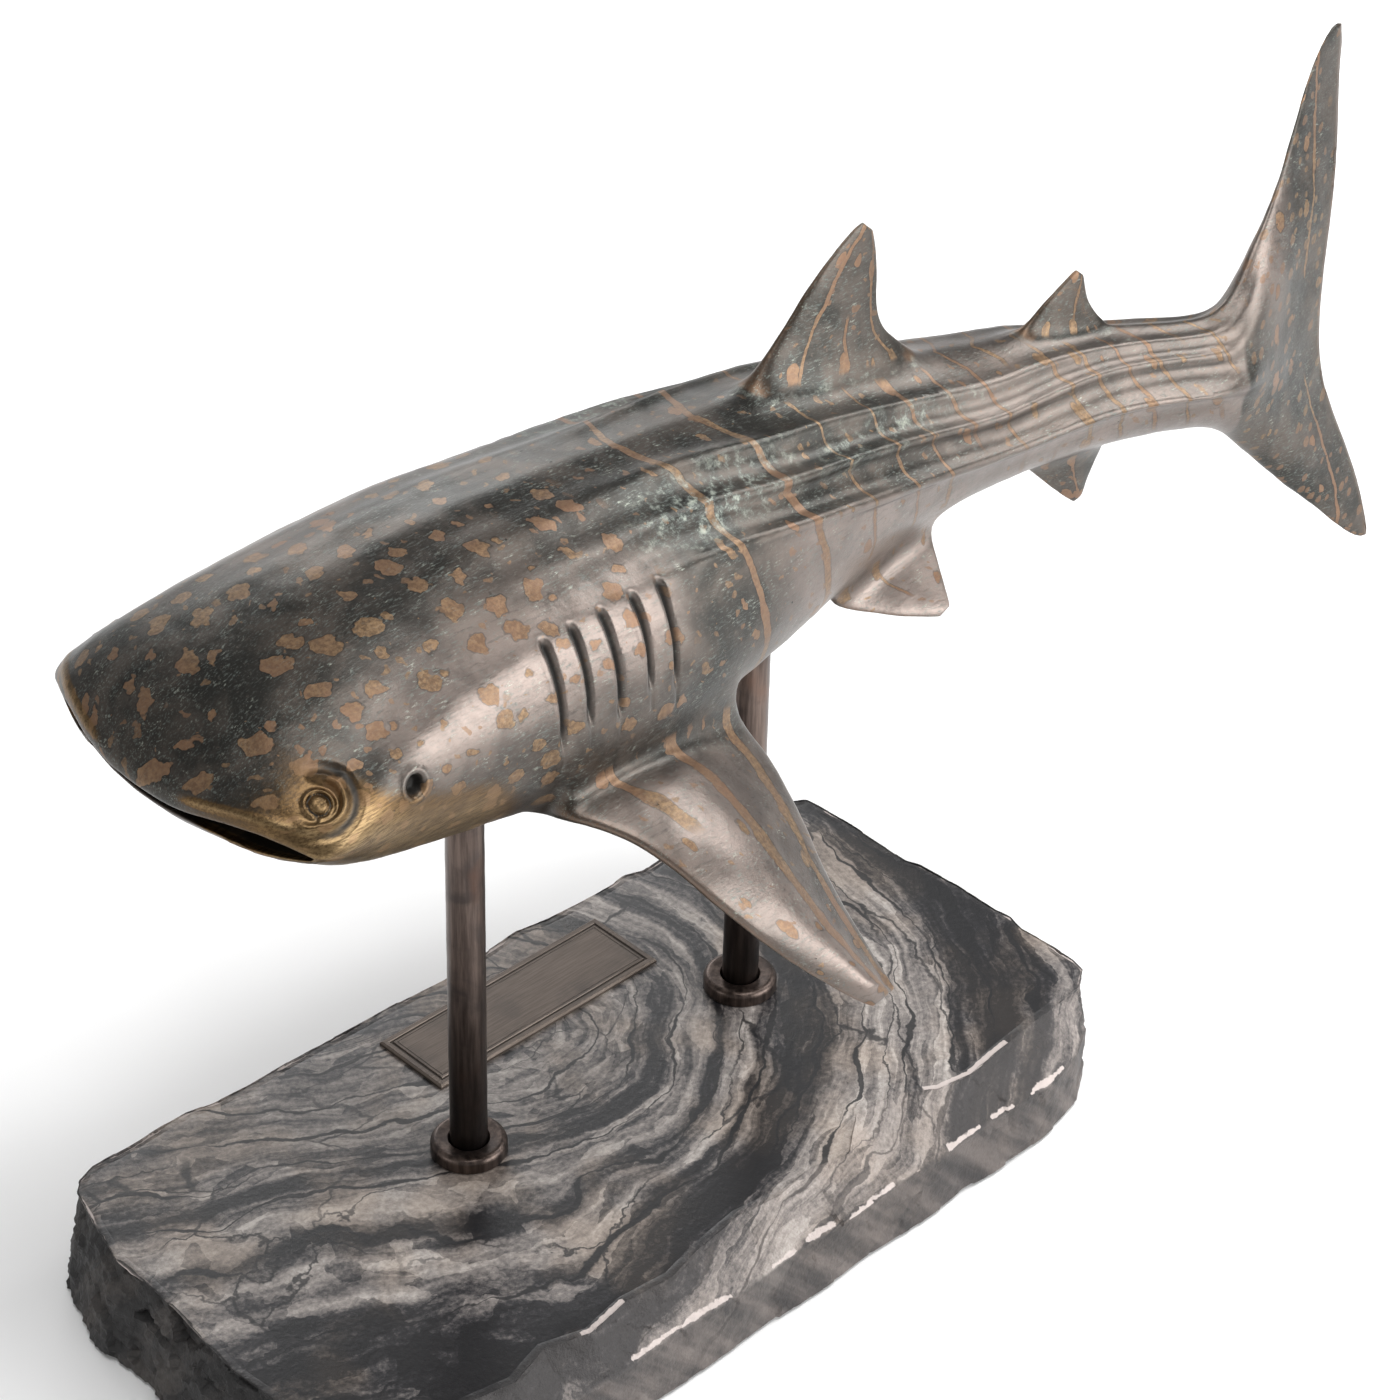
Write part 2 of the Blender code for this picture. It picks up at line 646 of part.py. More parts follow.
def build_washer(name, x, steel):
    top = FELT_THICKNESS + COUNTERBORE_DEPTH
    inner = SPIGOT_RADIUS + FIT_GAP
    profile = [(inner, top - WASHER_HEIGHT), (WASHER_RADIUS, top - WASHER_HEIGHT), (WASHER_RADIUS, top), (inner, top)]
    return add_object(name, turned_ring(profile, 32, (x, 0.0)), steel, smooth=False)


def build_nut(name, x, steel):
    top = FELT_THICKNESS + COUNTERBORE_DEPTH - WASHER_HEIGHT
    low = top - NUT_HEIGHT
    inner = SPIGOT_RADIUS + FIT_GAP
    corner = NUT_ACROSS_FLATS / 2 / math.cos(math.radians(30))
    solid = bmesh.new()
    rings = []
    for height in (low, top):
        hole = []
        rim = []
        for k in range(24):
            turn = 2 * math.pi * k / 24
            face = math.radians(60) * round(turn / math.radians(60) - 1e-9)
            flat = NUT_ACROSS_FLATS / 2 / math.cos(turn - face)
            reach = min(flat, corner)
            hole.append(solid.verts.new((x + inner * math.cos(turn), inner * math.sin(turn), height)))
            rim.append(solid.verts.new((x + reach * math.cos(turn), reach * math.sin(turn), height)))
        rings.append((hole, rim))
    for k in range(24):
        n = (k + 1) % 24
        (hole_low, rim_low), (hole_high, rim_high) = rings
        solid.faces.new((rim_low[k], rim_low[n], rim_high[n], rim_high[k]))
        solid.faces.new((hole_low[n], hole_low[k], hole_high[k], hole_high[n]))
        solid.faces.new((rim_low[n], rim_low[k], hole_low[k], hole_low[n]))
        solid.faces.new((rim_high[k], rim_high[n], hole_high[n], hole_high[k]))
    return add_object(name, solid, steel, smooth=False)


# slab top outline in millimetres, anticlockwise from the near right corner
SLAB_OUTLINE = [
    (158.8, -76.7), (160.5, -70.5), (160.9, -61.4), (160.0, -46.5), (162.0, -38.8), (161.2, -31.6),
    (161.5, -13.3), (160.4, 4.0), (158.4, 9.2), (159.3, 36.0), (158.8, 54.6), (158.1, 60.3),
    (151.4, 64.5), (131.0, 67.0), (112.0, 69.0), (93.4, 71.3), (83.4, 70.2), (76.4, 72.9),
    (67.7, 72.0), (50.7, 72.4), (37.6, 73.3), (25.8, 75.5), (12.5, 74.2), (-10.8, 72.5),
    (-32.0, 74.0), (-52.7, 74.5), (-77.8, 75.3), (-96.0, 75.0), (-109.8, 75.9), (-120.3, 78.3),
    (-131.4, 78.6), (-146.0, 78.0), (-159.9, 78.5), (-167.0, 76.0), (-171.6, 71.9), (-176.9, 54.7),
    (-181.6, 37.5), (-181.0, 22.0), (-181.8, 7.8), (-184.4, -15.2), (-185.6, -27.2), (-184.0, -44.0),
    (-186.0, -60.0), (-182.0, -76.0), (-174.0, -86.0), (-160.0, -90.0), (-142.0, -87.0),
    (-124.0, -90.5), (-108.0, -86.0), (-92.3, -91.0), (-75.0, -88.0), (-56.0, -90.0),
    (-40.0, -86.5), (-20.0, -84.0), (-4.0, -86.5), (12.0, -84.0), (28.0, -88.0), (44.0, -76.0),
    (60.0, -77.0), (74.0, -85.5), (88.0, -88.0), (104.0, -86.0), (120.0, -84.5), (136.0, -83.5),
    (150.0, -82.5),
]


def build_slab(stone):
    solid = bmesh.new()
    layers = []
    count = len(SLAB_OUTLINE)
    for level, (drop, push, near) in enumerate((
            (0.0, 0.0, None), (LEDGE_DROP, 0.6, -99.5), (SLAB_THICKNESS, 0.8, -101.0))):
        row = []
        for k, (x, y) in enumerate(SLAB_OUTLINE):
            wobble = 0.9 * math.sin(2.1 * k + 1.7 * level) if level else 0.0
            px = x
            py = y
            if x < -165 and level:
                px = x - (4.5 if level == 1 else 9.5) - wobble
            elif x > 155 and level:
                px = x - 2.0 * level + 0.5 * wobble
            if y > 60 and level:
                py = y + push + 0.6 * wobble
            if y < -70 and near is not None:
                depth = min(1.0, max(0.0, (160.0 - x) / 32.0)) * min(1.0, max(0.0, (x + 190.0) / 18.0))
                py = y + (near + 0.7 * wobble - y) * depth
            row.append(solid.verts.new((px / 1000, py / 1000, SLAB_TOP - drop)))
        layers.append(row)
    for high, low in zip(layers, layers[1:]):
        for k in range(count):
            n = (k + 1) % count
            solid.faces.new((high[k], high[n], low[n], low[k]))
    solid.faces.new(layers[0])
    solid.faces.new(list(reversed(layers[-1])))
    slab = add_object("marble_slab", solid, stone, smooth=False)
    for end, x in (("front", -POST_SPACING / 2), ("rear", POST_SPACING / 2)):
        profile = [
            (COUNTERBORE_RADIUS, -0.010), (COUNTERBORE_RADIUS, FELT_THICKNESS + COUNTERBORE_DEPTH),
            (SPIGOT_RADIUS + 0.0005, FELT_THICKNESS + COUNTERBORE_DEPTH),
            (SPIGOT_RADIUS + 0.0005, SLAB_TOP + 0.010),
        ]
        boolean(slab, "bore_" + end, turned_rod(profile, 32, (x, 0.0)))
    return slab


def build_felt(felt):
    """Felt sheet glued under the slab, set in from the slab's edge all round."""
    solid = bmesh.new()
    low = []
    high = []
    for x, y in SLAB_OUTLINE[::2]:
        px = x * 0.965 - 1.0
        py = (y + 12.0) * 0.955 - 12.0 if y > 0 else (y + 12.0) * 1.08 - 12.0
        low.append(solid.verts.new((px / 1000, py / 1000, 0.0)))
        high.append(solid.verts.new((px / 1000, py / 1000, FELT_THICKNESS)))
    count = len(low)
    for k in range(count):
        n = (k + 1) % count
        solid.faces.new((low[k], low[n], high[n], high[k]))
    solid.faces.new(list(reversed(low)))
    solid.faces.new(high)
    return add_object("felt_underside", solid, felt, smooth=False)


def build_plaque(bronze):
    """Thin cast plate with a bevelled rim and a sunk border line; its field is left bare."""
    solid = bmesh.new()
    steps = [
        (0.0, 0.0), (0.0, PLAQUE_THICKNESS - 0.0006), (0.0007, PLAQUE_THICKNESS),
        (0.0022, PLAQUE_THICKNESS), (0.0025, PLAQUE_THICKNESS - 0.0004),
        (0.0031, PLAQUE_THICKNESS - 0.0004), (0.0034, PLAQUE_THICKNESS),
    ]
    rings = []
    for inset, height in steps:
        hx = PLAQUE_LENGTH / 2 - inset
        hy = PLAQUE_WIDTH / 2 - inset
        z = SLAB_TOP + height
        corners = [(hx, hy), (-hx, hy), (-hx, -hy), (hx, -hy)]
        rings.append([solid.verts.new((x, PLAQUE_Y + y, z)) for x, y in corners])
    for low, high in zip(rings, rings[1:]):
        for k in range(4):
            n = (k + 1) % 4
            solid.faces.new((low[k], low[n], high[n], high[k]))
    solid.faces.new(list(reversed(rings[0])))
    solid.faces.new(rings[-1])
    return add_object("plaque", solid, bronze, smooth=False)


def main():
    clear_scene()
    bronze = metal("patinated_bronze", (0.105, 0.085, 0.075), 1.0, 0.38)
    rod_bronze = metal("dark_bronze", (0.085, 0.065, 0.055), 1.0, 0.32)
    plate_bronze = metal("plaque_bronze", (0.16, 0.13, 0.11), 1.0, 0.42)
    stone = metal("banded_marble", (0.22, 0.21, 0.20), 0.0, 0.45)
    steel = metal("zinc_plated_steel", (0.62, 0.62, 0.60), 1.0, 0.35)
    felt = metal("black_felt", (0.02, 0.02, 0.02), 0.0, 0.95)
    build_shark(bronze)
    for end, x in (("front", -POST_SPACING / 2), ("rear", POST_SPACING / 2)):
        build_post(end + "_post", x, SOCKET_TOP[end], rod_bronze)
        build_collar(end + "_collar", x, rod_bronze)
        build_washer(end + "_washer", x, steel)
        build_nut(end + "_nut", x, steel)
    build_slab(stone)
    build_felt(felt)
    build_plaque(plate_bronze)


main()
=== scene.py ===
"""Looks of the bronze whale shark on its two posts and marble slab.

Lengths are metres in the frame of the solids: X along the slab with the snout at -X, the
shark's left side at -Y, Z up. The shark's own stations are in post diameters.
"""

import math

import bmesh
import bpy
import numpy as np
from mathutils import Matrix, Vector, noise
from mathutils.bvhtree import BVHTree


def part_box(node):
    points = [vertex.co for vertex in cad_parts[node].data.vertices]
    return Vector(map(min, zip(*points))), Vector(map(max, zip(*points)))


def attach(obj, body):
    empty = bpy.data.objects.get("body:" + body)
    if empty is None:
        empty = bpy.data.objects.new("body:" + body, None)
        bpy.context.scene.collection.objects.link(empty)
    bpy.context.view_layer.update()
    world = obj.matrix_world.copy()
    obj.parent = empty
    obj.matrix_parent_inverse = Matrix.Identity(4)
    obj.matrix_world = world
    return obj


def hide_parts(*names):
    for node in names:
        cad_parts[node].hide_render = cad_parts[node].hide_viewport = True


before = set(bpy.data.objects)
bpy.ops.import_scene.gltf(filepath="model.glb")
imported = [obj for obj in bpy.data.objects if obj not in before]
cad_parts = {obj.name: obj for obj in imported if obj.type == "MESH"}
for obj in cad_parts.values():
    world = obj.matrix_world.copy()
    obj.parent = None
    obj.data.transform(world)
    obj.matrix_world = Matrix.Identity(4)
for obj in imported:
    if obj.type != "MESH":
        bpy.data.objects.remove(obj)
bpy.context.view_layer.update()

# dimensions shared with the solids, metres
POST_DIAMETER = 0.0127
POST_SPACING = 0.1266
SLAB_TOP = 0.038
SLAB_THICKNESS = 0.0365
LEDGE_DROP = 0.014
COLLAR_RADIUS = 0.0129
COLLAR_HEIGHT = 0.0058
SPIGOT_RADIUS = 0.0040
FIT_GAP = 0.0003
PLAQUE_HALF_LENGTH = 0.0504
PLAQUE_HALF_WIDTH = 0.016
PLAQUE_Y = 0.0447
POST_TOPS = {"front": SLAB_TOP + 13.05 * POST_DIAMETER, "rear": SLAB_TOP + 13.75 * POST_DIAMETER}

# points round a section of the body, and to its lowest point
COLUMNS = 22
HALF = 11
# the body's first and last stations, and where, over what length and how far its axis swings to the left
SNOUT = -14.85
STERN = 19.8
SWING_START = 5.0
SWING_LENGTH = 14.5
SWING = -2.7

# the shark's vertices carry these: share of fin, kind, place along chord and span, length of chord;
# kinds are 1 first dorsal, 2 second dorsal, 3 anal, 4 pelvic, 5 pectoral and 6 tail
FIN_FIELDS = ("fin", "kind", "chord", "span", "reach")
TAIL = 6.0
TAIL_REACH = 6.0
TAIL_ROWS = 6

# shark body: station, bow, mid height, rise, drop, half width, top and bottom fullness
BODY = [
    (-14.85, 1.25, 16.66, 0.34, 0.28, 4.72, 2.00, 2.00),
    (-14.46, 1.20, 16.70, 0.80, 0.80, 4.98, 2.10, 2.10),
    (-13.66, 1.05, 16.70, 1.42, 1.45, 5.02, 2.20, 2.20),
    (-12.48, 0.80, 16.65, 2.10, 2.25, 4.94, 2.20, 2.20),
    (-11.05, 0.50, 16.58, 2.63, 2.85, 4.84, 2.10, 2.10),
    (-9.55, 0.25, 16.50, 3.16, 3.30, 4.74, 2.05, 2.05),
    (-8.10, 0.10, 16.42, 3.40, 3.70, 4.70, 2.00, 2.00),
    (-6.80, 0.00, 16.30, 3.66, 3.92, 4.70, 2.00, 2.00),
    (-5.60, 0.00, 16.18, 3.80, 4.05, 4.70, 2.00, 2.00),
    (-4.40, 0.00, 16.06, 3.88, 4.10, 4.68, 2.00, 2.00),
    (-3.20, 0.00, 15.98, 3.88, 4.08, 4.62, 2.00, 2.00),
    (-2.00, 0.00, 15.92, 3.84, 4.02, 4.50, 2.00, 2.00),
    (-0.80, 0.00, 15.88, 3.76, 3.92, 4.34, 2.00, 2.00),
    (0.40, 0.00, 15.86, 3.66, 3.80, 4.16, 2.00, 2.00),
    (1.60, 0.00, 15.86, 3.54, 3.66, 3.96, 2.00, 2.00),
    (2.90, 0.00, 15.87, 3.40, 3.48, 3.74, 2.00, 2.00),
    (4.20, 0.00, 15.90, 3.22, 3.24, 3.46, 2.00, 2.00),
    (5.70, 0.00, 15.95, 3.02, 2.96, 3.14, 2.00, 2.00),
    (7.20, 0.00, 16.00, 2.72, 2.68, 2.80, 2.00, 2.00),
    (8.70, 0.00, 16.02, 2.44, 2.42, 2.50, 2.00, 2.00),
    (10.20, 0.00, 16.00, 2.20, 2.22, 2.26, 2.00, 2.00),
    (11.80, 0.00, 15.92, 1.96, 2.05, 2.04, 2.00, 2.00),
    (13.40, 0.00, 15.82, 1.94, 1.90, 1.82, 2.00, 2.00),
    (14.90, 0.00, 15.70, 1.78, 1.78, 1.62, 2.00, 2.00),
    (16.40, 0.00, 15.54, 1.64, 1.68, 1.46, 2.00, 2.00),
    (18.10, 0.00, 15.30, 1.54, 1.60, 1.34, 2.00, 2.00),
    (19.80, 0.00, 15.02, 1.52, 1.60, 1.24, 2.00, 2.00),
]

# mouth pocket behind the lips, in the same terms, from the lips inwards
MOUTH = [
    (-14.75, 1.25, 16.58, 0.14, 0.16, 4.52),
    (-14.15, 1.25, 16.55, 0.12, 0.20, 4.30),
    (-13.20, 1.15, 16.50, 0.10, 0.20, 3.80),
]

# angles from the back's mid line of the three flank ridges and the lower columns
RIDGES = [
    (-14.85, 33.0, 65.0, 98.0, 131.0, 147.0, 164.0),
    (-13.0, 28.0, 54.0, 84.0, 124.0, 142.0, 161.0),
    (-11.0, 23.0, 44.0, 68.0, 112.0, 132.0, 155.0),
    (-8.0, 19.0, 38.0, 56.0, 104.0, 124.0, 146.0),
    (-4.0, 18.0, 35.0, 51.0, 102.0, 121.0, 143.0),
    (0.0, 18.0, 36.0, 53.0, 102.0, 121.0, 143.0),
    (4.0, 27.0, 46.0, 64.0, 104.0, 124.0, 146.0),
    (8.0, 35.0, 56.0, 79.0, 112.0, 130.0, 150.0),
    (12.0, 39.0, 63.0, 89.0, 117.0, 136.0, 157.0),
    (16.0, 28.0, 50.0, 83.0, 113.0, 135.0, 157.0),
    (19.8, 25.0, 48.0, 85.0, 113.0, 135.0, 157.0),
]

UPPER_LEAD = [
    (19.80, -2.75, 16.56), (20.30, -2.80, 17.55), (21.30, -2.60, 18.45), (22.74, -2.10, 19.64),
    (24.00, -1.50, 21.25), (24.70, -1.15, 22.05), (25.45, -0.90, 22.82), (26.95, -0.55, 23.25),
]
UPPER_TRAIL = [
    (26.95, -0.55, 23.25), (26.30, -1.00, 21.23), (26.16, -1.25, 20.44), (25.84, -1.70, 19.36),
    (25.36, -2.10, 18.27), (24.73, -2.50, 17.07), (24.31, -2.80, 15.58), (24.19, -3.00, 14.12),
]
LOWER_TRAIL = [
    (24.19, -3.00, 14.12), (24.62, -3.20, 12.45), (25.22, -3.70, 10.74), (25.62, -4.20, 9.27),
    (25.78, -4.70, 7.20),
]
LOWER_LEAD = [
    (19.80, -2.75, 13.42), (20.78, -3.05, 12.30), (22.36, -3.70, 10.50), (23.92, -4.20, 9.00),
    (24.95, -4.50, 7.80), (25.78, -4.70, 7.20),
]

# fin sections from root to tip: leading point, trailing point, half thickness
FIRST_DORSAL = [
    ((4.60, 0.00, 19.60), (9.75, -0.40, 18.85), 0.50),
    ((5.60, -0.02, 20.62), (9.00, -0.34, 19.45), 0.32),
    ((6.45, -0.06, 21.50), (8.82, -0.26, 20.20), 0.24),
    ((7.20, -0.10, 22.16), (8.86, -0.20, 21.05), 0.18),
    ((7.85, -0.12, 22.60), (8.78, -0.16, 21.85), 0.13),
    ((8.22, -0.14, 22.72), (8.62, -0.16, 22.34), 0.08),
]
SECOND_DORSAL = [
    ((13.60, -1.05, 17.95), (16.50, -1.60, 17.25), 0.28),
    ((14.35, -1.20, 18.62), (15.80, -1.48, 17.95), 0.18),
    ((14.95, -1.30, 19.02), (15.60, -1.40, 18.52), 0.12),
    ((15.25, -1.34, 19.20), (15.52, -1.38, 18.96), 0.07),
]
ANAL = [
    ((13.95, -1.15, 13.65), (16.80, -1.65, 13.40), 0.26),
    ((14.85, -1.22, 12.75), (16.50, -1.55, 12.80), 0.17),
    ((15.60, -1.30, 12.05), (16.35, -1.45, 12.25), 0.11),
    ((16.00, -1.36, 11.72), (16.28, -1.42, 11.88), 0.07),
]
PELVIC = [
    ((5.80, -1.75, 13.10), (9.90, -1.50, 13.75), 0.26),
    ((6.65, -2.30, 12.78), (9.55, -2.15, 13.30), 0.19),
    ((7.75, -2.85, 12.45), (9.25, -2.75, 12.80), 0.13),
    ((8.62, -3.20, 12.22), (9.05, -3.18, 12.40), 0.08),
]
PECTORAL = [
    ((-6.05, -4.35, 13.85), (1.10, -3.55, 12.80), 0.62),
    ((-5.60, -5.20, 13.88), (1.28, -4.30, 12.25), 0.54),
    ((-5.05, -6.10, 13.60), (1.02, -5.20, 11.82), 0.48),
    ((-4.62, -6.95, 13.10), (0.72, -6.10, 11.42), 0.42),
    ((-4.05, -7.85, 12.20), (0.35, -7.10, 10.88), 0.36),
    ((-3.05, -8.75, 10.85), (0.18, -8.10, 10.10), 0.30),
    ((-1.70, -9.45, 9.35), (0.26, -9.05, 9.15), 0.23),
    ((-0.60, -9.85, 8.40), (0.34, -9.75, 8.45), 0.15),
]

GILL_STATIONS = (-5.90, -5.00, -4.02, -2.98, -2.08)
GILL_TOP = 47.0
EYE = (-12.81, -4.17, 17.55)
EYE_FACING = (-0.48, -0.53, 0.70)
SPIRACLE = (-10.46, -4.63, 17.19)
SPIRACLE_FACING = (-0.10, -0.97, 0.22)
GILL_BOTTOM = (93.0, 88.0, 90.0, 86.0, 90.0)


def smooth_row(table, at):
    """Row of a table at a station between its rows, eased so that slopes carry through."""
    stations = [row[0] for row in table]
    at = min(max(at, stations[0]), stations[-1])
    k = max(i for i in range(len(stations) - 1) if stations[i] <= at)
    before, start, end, after = (table[min(max(i, 0), len(table) - 1)] for i in range(k - 1, k + 3))
    span = end[0] - start[0]
    t = (at - start[0]) / span
    from_start = 2 * t ** 3 - 3 * t ** 2 + 1
    from_end = -2 * t ** 3 + 3 * t ** 2
    leaving = t ** 3 - 2 * t ** 2 + t
    arriving = t ** 3 - t ** 2
    found = []
    for c in range(1, len(start)):
        slope_start = (end[c] - before[c]) / (end[0] - before[0])
        slope_end = (after[c] - start[c]) / (after[0] - start[0])
        found.append(from_start * start[c] + leaving * span * slope_start
                     + from_end * end[c] + arriving * span * slope_end)
    return found


def share(value):
    return min(1.0, max(0.0, value))


def sweep(station):
    """Sideways offset and heading of the body's axis, which swings to the left aft."""
    t = (station - SWING_START) / SWING_LENGTH
    t = t * (t > 0)
    return SWING * t ** 1.8, SWING * 1.8 / SWING_LENGTH * t ** 0.8


def column_angles(station):
    first, second, third, low, lower, lowest = smooth_row(RIDGES, station)
    return [
        0.0, first / 2, first, (first + second) / 2, second, (second + third) / 2, third,
        (third + low) / 2, low, lower, lowest, 180.0,
    ]


def ridge_height(station, column):
    """Relief of a column: ridges stand proud and the bands between them are hollow."""
    fade = min(1.0, max(0.25, (21.0 - station) / 8.0))
    relief = (0.12, -0.05, 0.14 * fade, -0.08, 0.14 * fade, -0.10, 0.24, -0.06, 0.0, 0.0, 0.0, 0.0)
    keel = (0.0, 0.0, 0.0, 0.0, 0.0, -0.05, 0.22, -0.05, 0.0, 0.0, 0.0, 0.0)
    return relief[column] * share((station + 13.5) / 9.0) + keel[column] * share((station - 12.0) / 6.0)


def section_point(row, angle, extra=0.0, side=-1.0):
    """Point on the body's section at an angle from the top, in post diameters."""
    station, bow, mid, rise, drop, half_width, full_top, full_low = row
    turn = math.radians(angle)
    upper = math.cos(turn) >= 0
    power = 2.0 / (full_top if upper else full_low)
    across = half_width * abs(math.sin(turn)) ** power
    high = (rise if upper else drop) * abs(math.cos(turn)) ** power
    up = high if upper else -high
    reach = math.hypot(across, up)
    grow = 1.012 + extra / max(reach, 0.1)
    across *= grow
    up *= grow
    offset, slope = sweep(station)
    length = math.hypot(1.0, slope)
    along = station + bow * (across / half_width) ** 2 if half_width else station
    x = along - side * across * slope / length
    y = offset + side * across / length
    return Vector((x, y, mid + up))


def ring_points(row, setback=0.0, relief=True):
    angles = column_angles(row[0])
    points = []
    for column in range(COLUMNS):
        k = min(column, COLUMNS - column)
        extra = ridge_height(row[0], k) if relief else 0.0
        point = section_point(row, angles[k], extra, -1.0 if column <= HALF else 1.0)
        point.x += setback * (1 - math.cos(math.radians(angles[k]))) / 2
        points.append(point)
    return points


def polyline_at(points, t):
    spans = [(Vector(b) - Vector(a)).length for a, b in zip(points, points[1:])]
    goal = t * sum(spans)
    for (a, b), span in zip(zip(points, points[1:]), spans):
        if goal <= span or span == spans[-1] and b == points[-1]:
            return Vector(a).lerp(Vector(b), min(1.0, goal / span))
        goal -= span
    return Vector(points[-1])


def tail_rows(last_ring):
    """Rows of the tail fin between the body's last ring and the trailing edge."""
    edge = [polyline_at(UPPER_TRAIL, t) for t in (0.0, 0.14, 0.30, 0.48, 0.66, 0.84)]
    edge += [polyline_at(LOWER_TRAIL, t) for t in (0.0, 0.22, 0.44, 0.65, 0.84, 1.0)]
    pairs = [(last_ring[column], last_ring[(COLUMNS - column) % COLUMNS]) for column in range(HALF + 1)]
    root = [(left + right) / 2 for left, right in pairs]
    half = [(left - right).length / 2 for left, right in pairs]
    middles = [root]
    for k in range(1, TAIL_ROWS + 1):
        t = k / TAIL_ROWS
        top = polyline_at(UPPER_LEAD, t)
        low = polyline_at(LOWER_LEAD, t)
        middle = []
        for column in range(HALF + 1):
            v = column / HALF
            flat = root[column].lerp(edge[column], t) + top.lerp(low, v)
            middle.append(flat - root[0].lerp(root[HALF], v).lerp(edge[0].lerp(edge[HALF], v), t))
        middles.append(middle)
    found = []
    for k in range(1, TAIL_ROWS):
        t = k / TAIL_ROWS
        middle = middles[k]
        row = list(middle) + [None] * (HALF - 1)
        for column in range(1, HALF):
            along = middles[k + 1][column] - middles[k - 1][column]
            normal = along.cross(middle[column + 1] - middle[column - 1]).normalized()
            if normal.y > 0:
                normal = -normal
            spread = half[column] * (1 - t) ** 2.6
            lens = 0.30 * math.sin(math.pi * column / HALF) ** 0.5
            thick = spread + lens * (1 - t) ** 0.55 * min(1.0, 0.45 + t)
            row[column] = middle[column] + normal * thick
            row[COLUMNS - column] = middle[column] - normal * thick
        found.append(row)
    return found, edge


def fin_loops(count, sections):
    """Rings of a fin outwards from its root: front, one side, rear, other side."""
    middles = [(Vector(lead) + Vector(trail)) / 2 for lead, trail, _ in sections]
    loops = []
    for k, (lead, trail, half) in enumerate(sections):
        lead = Vector(lead)
        trail = Vector(trail)
        chord = trail - lead
        outwards = middles[min(k + 1, len(middles) - 1)] - middles[max(k - 1, 0)]
        normal = chord.cross(outwards).normalized()
        side_a = []
        side_b = []
        for i in range(count):
            c = 0.05 + 0.88 * (i / (count - 1)) ** 1.15
            shape = (c ** 0.5) * ((1 - c) ** 0.75) / 0.476
            at = lead + chord * c
            side_a.append(at + normal * half * shape)
            side_b.append(at - normal * half * shape)
        loops.append([lead] + side_a + [trail] + side_b[::-1])
    return loops


def mirrored(sections, inwards=(0.0, 0.0)):
    """A fin's sections on the shark's other side, each edge moved sideways a little."""
    return [((a[0], -a[1] - inwards[0], a[2]), (b[0], -b[1] - inwards[1], b[2]), half)
            for a, b, half in sections]


